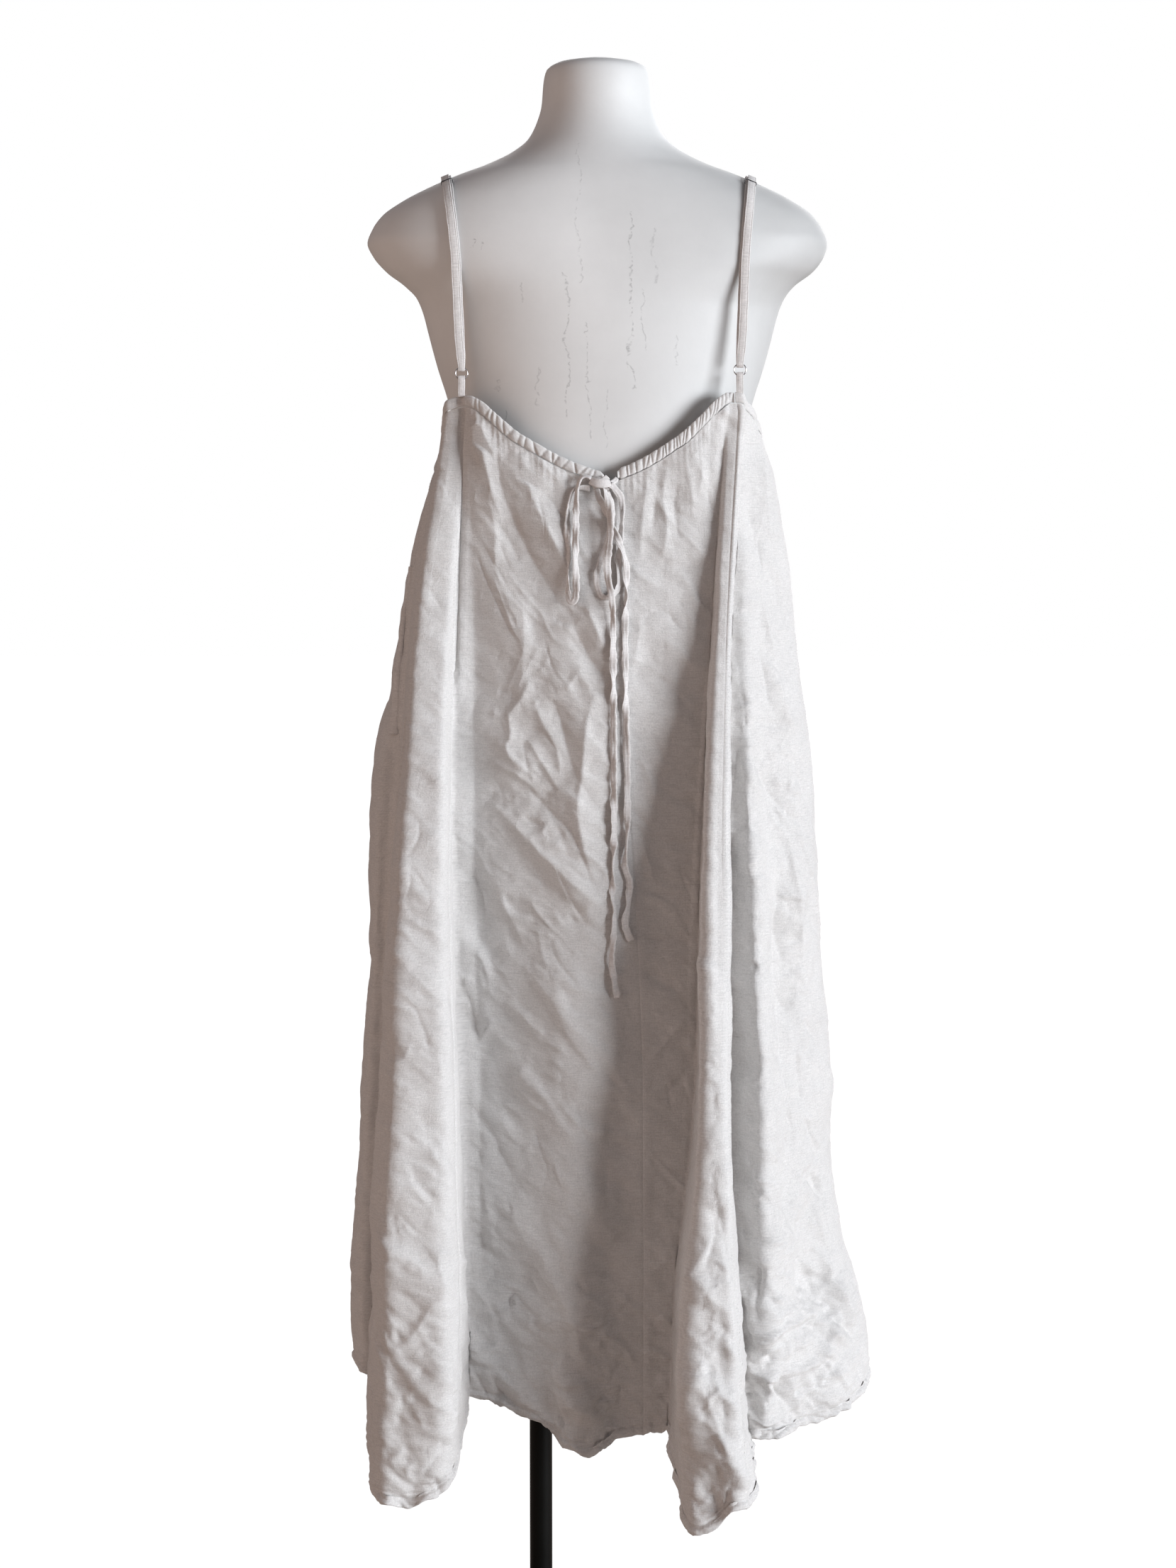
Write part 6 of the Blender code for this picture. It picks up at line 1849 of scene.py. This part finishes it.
def build_bow():
    """The drawstring's ends, its knot, and the bow's loops and long ties."""
    level = top_height(0.0) - CASING_HEIGHT / 2
    first = dress_point(CASINGS[-1].end, level) + (WALL / 2, WALL / 2, 0)
    last = dress_point(CASINGS[0].start, level) + (-WALL / 2, WALL / 2, 0)
    sag = (first + last) / 2 + (-0.004, -0.0045, -0.0085)
    half_way = [(end + sag) / 2 + (0, -0.002, 0) for end in (first, last)]
    routes = {"drawstring": [first, half_way[0], sag, half_way[1], last]}
    for name, route in TIES.items():
        routes[name] = [tie_point(*stop) for stop in route]
    knot_middle = np.array([KNOT_PLACE[0], back_depth(*KNOT_PLACE) - KNOT_LIFT, KNOT_PLACE[1]])
    # Width, thickness, twist, seed, and how wide the far end stays (1 is uncut)
    shapes = {
        "drawstring": (0.0052, 0.0030, 0.10, 21, 1.0),
        "loop_left": (0.0060, 0.0022, 0.85, 22, 1.0),
        "loop_right": (0.0060, 0.0022, 0.85, 23, 1.0),
        "tie_a": (0.0064, 0.0022, 1.05, 24, 0.55),
        "tie_b": (0.0064, 0.0022, 1.05, 25, 0.55),
    }
    on_tie = build_knot(knot_middle)
    for name, route in routes.items():
        mesh, path, total = sewn_cord(name + "_sewn", route, *shapes[name])
        piece = finished(mesh, LINEN_CORD, [name])
        if name == "drawstring":
            on_tie.append(piece)
            continue


def build_knot(middle):
    """The knot: a flat band of cord wrapped across, over two crossing turns."""
    pieces = []
    # Width, thickness, start and end to the side and up, and how deep each turn lies
    turns = (
        (0.0076, 0.0034, (-0.0068, 0.0030), (0.0072, 0.0015), 0.0010),
        (0.0070, 0.0034, (-0.0060, -0.0034), (0.0066, 0.0044), -0.0012),
        (0.0086, 0.0030, (-0.0088, 0.0012), (0.0088, -0.0006), -0.0036),
    )
    t = np.linspace(-1, 1, 26)[:, None]
    bend = np.concatenate([0 * t, 0.0032 * t**2, -0.0016 * (1 - t**2)], 1)
    for number, (width, thickness, start, end, depth) in enumerate(turns, 1):
        ends = np.array([(start[0], 0, start[1]), (end[0], 0, end[1])])
        path = middle + ends[0] * (1 - t) / 2 + ends[1] * (1 + t) / 2
        path = path + (0, depth, 0) + bend
        across, out = strip_frame(path)
        shares, outs = turned_section(width, thickness, 24)
        crease = 1 - 0.35 * np.exp(-(((shares / width + 0.12) / 0.07) ** 2))
        sections = []
        for i, point in enumerate(path):
            fat = 1 - 0.22 * float(t[i, 0]) ** 2
            sections.append(
                point + across[i] * (shares * fat)[:, None] + out[i] * (outs * fat * crease)[:, None]
            )
        name = "knot_turn_%d" % number
        pieces.append(finished(tube_mesh(name, sections), LINEN_CORD, ["knot"]))
    return pieces


# Pocket
def build_pocket():
    """The mouth's folded edge in the left side seam, and the bag that hangs inside it."""
    heights = np.linspace(POCKET_TOP - 0.002, POCKET_BOTTOM + 0.002, 120)
    wave = 0.0006 * np.sin(heights / 0.009) + 0.0003 * np.sin(heights / 0.0031)
    rows = []
    # The edge's section: how far it reaches over the seam, and its lift
    for reach, lift in (
        (0.000, -0.0010), (0.0002, 0.0004), (0.0012, 0.0014),
        (0.0026, 0.0016), (0.0044, 0.0013), (0.0056, 0.0003),
    ):
        place = np.full(len(heights), MOUTH_PLACE) + 0.004 - reach / 0.35
        lifts = lift + MOUTH_LIFT + wave * (reach > 0.001)
        rows.append(dress_point(place, heights) + dress_normal(place, heights) * lifts[:, None])
    grid = np.array(rows)[::-1]
    cloth = np.stack(np.broadcast_arrays(np.arange(len(grid))[:, None] * 0.0012, heights), -1)
    mesh = sheet_mesh("pocket_edge", np.swapaxes(grid, 0, 1), np.swapaxes(cloth, 0, 1))
    finished(mesh, LINEN_EDGE, ["pocket_mouth_left"])

    profile = np.linspace(0, 1, 36)
    across = np.linspace(0, 1, 30)
    cloth = np.stack(np.meshgrid(across * 0.13, profile * 0.16), -1)
    for face, bulge in ((1, -BAG_BULGE), (2, BAG_BULGE)):
        grid = []
        for t in profile:
            height = POCKET_TOP + (POCKET_BOTTOM - POCKET_TOP) * t
            reach = POCKET_REACH * (0.35 + 0.65 * sin(pi * min(0.18 + 0.72 * t, 1.0)))
            for s in across:
                place = POCKET_PLACE - reach * s
                inside = BAG_DEPTH + (face - 1) * BAG_FACES + bulge * sin(pi * t) * sin(pi * s)
                grid.append(dress_point(place, height) - dress_normal(place, height) * inside)
        grid = np.reshape(grid, (len(profile), len(across), 3))
        if face == 2:
            grid = grid[:, ::-1]
        name = "pocket_bag_face_%d" % face
        piece = finished(sheet_mesh(name, grid, cloth), LINEN, ["pocket_bag_left"])
        declare_sheet(piece, grid)


# Stitches
def stitch_rows(name, lines):
    """Rows of single stitches laid along lines of points with their way out."""
    own_faces = grid_faces(3, 4, round_columns=True)[:, [0, 3, 2, 1]]
    points = []
    faces = []
    for line, normals in lines:
        run = distances(line)
        for start in np.arange(STITCH_PITCH / 2, run[-1] - STITCH_PITCH, STITCH_PITCH):
            first, last = (
                np.array([np.interp(at, run, line[:, axis]) for axis in range(3)])
                for at in (start, start + STITCH_LENGTH)
            )
            own = int(np.searchsorted(run, start))
            out = normals[min(own, len(normals) - 1)]
            way = last - first
            way /= np.linalg.norm(way)
            side = np.cross(way, out)
            base = len(points)
            for at, size, height in ((0, 0.35, -0.0002), (0.5, 1.0, STITCH_LIFT), (1, 0.35, -0.0002)):
                middle = first * (1 - at) + last * at + out * height
                for a in (0.25, 0.75, 1.25, 1.75):
                    round_way = side * cos(a * pi) + out * sin(a * pi)
                    points.append(middle + round_way * STITCH_THICKNESS * size)
            faces.extend(base + own_faces)
    finished(faces_mesh(name, points, faces), THREAD)


def surface_line(draped, cloth, column, rows, shift):
    """A line on the draped cloth beside a column, shifted sideways by a distance."""
    count = draped.shape[1]
    line = []
    out = []
    for row in rows:
        here = cloth.around[row]
        girth = here[-1] + (here[-1] - here[-2])
        want = (here[column] + shift) % girth
        at = np.interp(want, np.concatenate([here, [girth]]), np.arange(count + 1))
        low = int(at) % count
        high = (low + 1) % count
        t = at - int(at)
        line.append(draped[row, low] * (1 - t) + draped[row, high] * t)
        out.append(cloth.normals[row, low])
    return np.array(line), np.array(out)


def build_stitches(cloth, draped):
    """The rows beside each seam, and the row that holds the hem."""
    rows = np.arange(4, len(draped) - 4, 2)
    sides = ((0.0016,), (0.0022, 0.0068), (0.0020,), (0.0020,), (-0.0022, -0.0066))
    lines = []
    for column, shifts in zip(cloth.seams, sides):
        for shift in shifts:
            lines.append(surface_line(draped, cloth, column, rows, shift))
    stitch_rows("seam_stitches", lines)
    heights = draped[..., 2]
    row = np.argmin(np.abs(heights - (heights[-1] + HEM_STITCHES)), axis=0)
    column = np.arange(draped.shape[1])
    stitch_rows("hem_stitches", [(draped[row, column], cloth.normals[row, column])])


# Camera, light and floor
CAMERA_PLACE = (FORM_X - 0.00986, -2.6, 1.11)
CAMERA_TILT = 5.274  # degrees below level
CAMERA_LENS = 83.32  # mm on a sensor 36 mm wide
SURROUND_TINT = (0.96, 0.93, 1.0, 1)
SURROUND_STRENGTH = 0.16
FLOOR_COLOUR = (0.52, 0.43, 0.37)
FLOOR_GLOW = 1.08
FLOOR_GLOW_SHARE = 0.94
WHITE = (1, 1, 1, 1)


def build_view():
    """The eye behind the dress, a little above its middle."""
    camera = bpy.data.cameras.new("camera")
    camera.sensor_fit = "HORIZONTAL"
    camera.sensor_width = 36.0
    camera.lens = CAMERA_LENS
    camera.clip_end = 50
    view = bpy.data.objects.new("camera", camera)
    view.location = CAMERA_PLACE
    view.rotation_euler = (radians(90 - CAMERA_TILT), 0, 0)
    bpy.context.scene.collection.objects.link(view)
    bpy.context.scene.camera = view


def build_light():
    """A large lamp far to the right, and weak ones on the left and behind."""
    scene = bpy.context.scene
    scene.view_settings.view_transform = "Standard"
    scene.view_settings.look = "None"
    # Name, place, what it faces, size, power, colour
    lamps = (
        ("key", (7.48, -4.50, 1.20), (0.05, -0.05, 0.70), (4.6, 4.0), 1120.0, (0.955, 1.0, 1.055)),
        ("fill_left", (-2.60, -1.60, 1.00), (0.0, 0.0, 0.65), (4.0, 3.2), 28.0, (1.0, 0.72, 0.57)),
        ("rim_back", (0.60, 2.60, 2.20), (0.0, 0.0, 1.0), (2.4, 1.8), 46.0, (1.0, 1.0, 1.0)),
    )
    for name, place, target, size, power, colour in lamps:
        lamp = bpy.data.lights.new(name, "AREA")
        lamp.shape = "RECTANGLE"
        lamp.size, lamp.size_y = size
        lamp.energy = power
        lamp.color = colour
        obj = bpy.data.objects.new(name, lamp)
        obj.location = place
        direction = Vector(place) - Vector(target)
        obj.rotation_euler = direction.to_track_quat("Z", "Y").to_euler()
        scene.collection.objects.link(obj)


def show_to_eye(make, share, lit, seen, output):
    """The eye sees one shader in the given share; everything else is lit by the other."""
    either = make.add("MixShader")
    for value, socket in zip((share, lit.outputs[0], seen.outputs[0]), either.inputs):
        make.join(value, socket)
    make.join(either.outputs[0], output.inputs[0])


def build_world():
    """A dim tinted surround that looks white."""
    world = bpy.data.worlds.new("studio")
    world.use_nodes = True
    bpy.context.scene.world = world
    nodes = world.node_tree.nodes
    make = Shader(world.node_tree)
    plain = make.feed(nodes["Background"], Color=SURROUND_TINT, Strength=SURROUND_STRENGTH)
    seen = make.feed(make.add("Background"), Color=WHITE, Strength=1.0)
    share = make.add("LightPath").outputs["Is Camera Ray"]
    show_to_eye(make, share, plain, seen, nodes["World Output"])


def build_floor():
    """A wide pale floor that runs into the white behind."""
    mesh = bpy.data.meshes.new("floor")
    mesh.from_pydata([(-14, -6, 0), (14, -6, 0), (14, 22, 0), (-14, 22, 0)], [], [(0, 1, 2, 3)])
    floor = bpy.data.objects.new("floor", mesh)
    bpy.context.scene.collection.objects.link(floor)
    material, make, shader = plain_material("studio_floor", FLOOR_COLOUR, 0.8)
    glow = make.feed(make.add("Emission"), Color=WHITE, Strength=FLOOR_GLOW)
    share = make.times(make.add("LightPath").outputs["Is Camera Ray"], FLOOR_GLOW_SHARE)
    show_to_eye(make, share, shader, glow, material.node_tree.nodes["Material Output"])
    mesh.materials.append(material)


def main():
    build_view()
    build_bow()
    cloth = build_cloth()
    draped = build_panels(cloth)
    build_casings()
    build_form()
    build_stand()
    build_straps()
    build_pocket()
    build_stitches(cloth, draped)
    build_light()
    build_world()
    build_floor()
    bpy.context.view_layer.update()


WEAVE = weave_group()
WASHED = crumple_group()
LINEN_COLOUR = (0.648, 0.632, 0.618)
FORM_WHITE = (0.796, 0.798, 0.788)
STAND_BLACK = (0.004, 0.004, 0.0035)
LINEN = linen_material("linen", LINEN_COLOUR)
LINEN_EDGE = linen_material("linen_gathered", LINEN_COLOUR, 0.0009, 0.20, 0.6)
LINEN_STRAP = linen_material("linen_strap", (0.705, 0.680, 0.664), 0.0008, 0.30, 0.5)
LINEN_CORD = linen_material("linen_cord", (0.675, 0.648, 0.634), 0.0008, 0.30, 0.6)
THREAD = linen_material("linen_thread", (0.60, 0.58, 0.565), 0.0004, 0.10, 0.0)
STEEL = metal_material("ring_steel", (0.62, 0.62, 0.63), 0.24)
DARK_METAL = metal_material("slider_metal", (0.10, 0.10, 0.105), 0.34)

main()
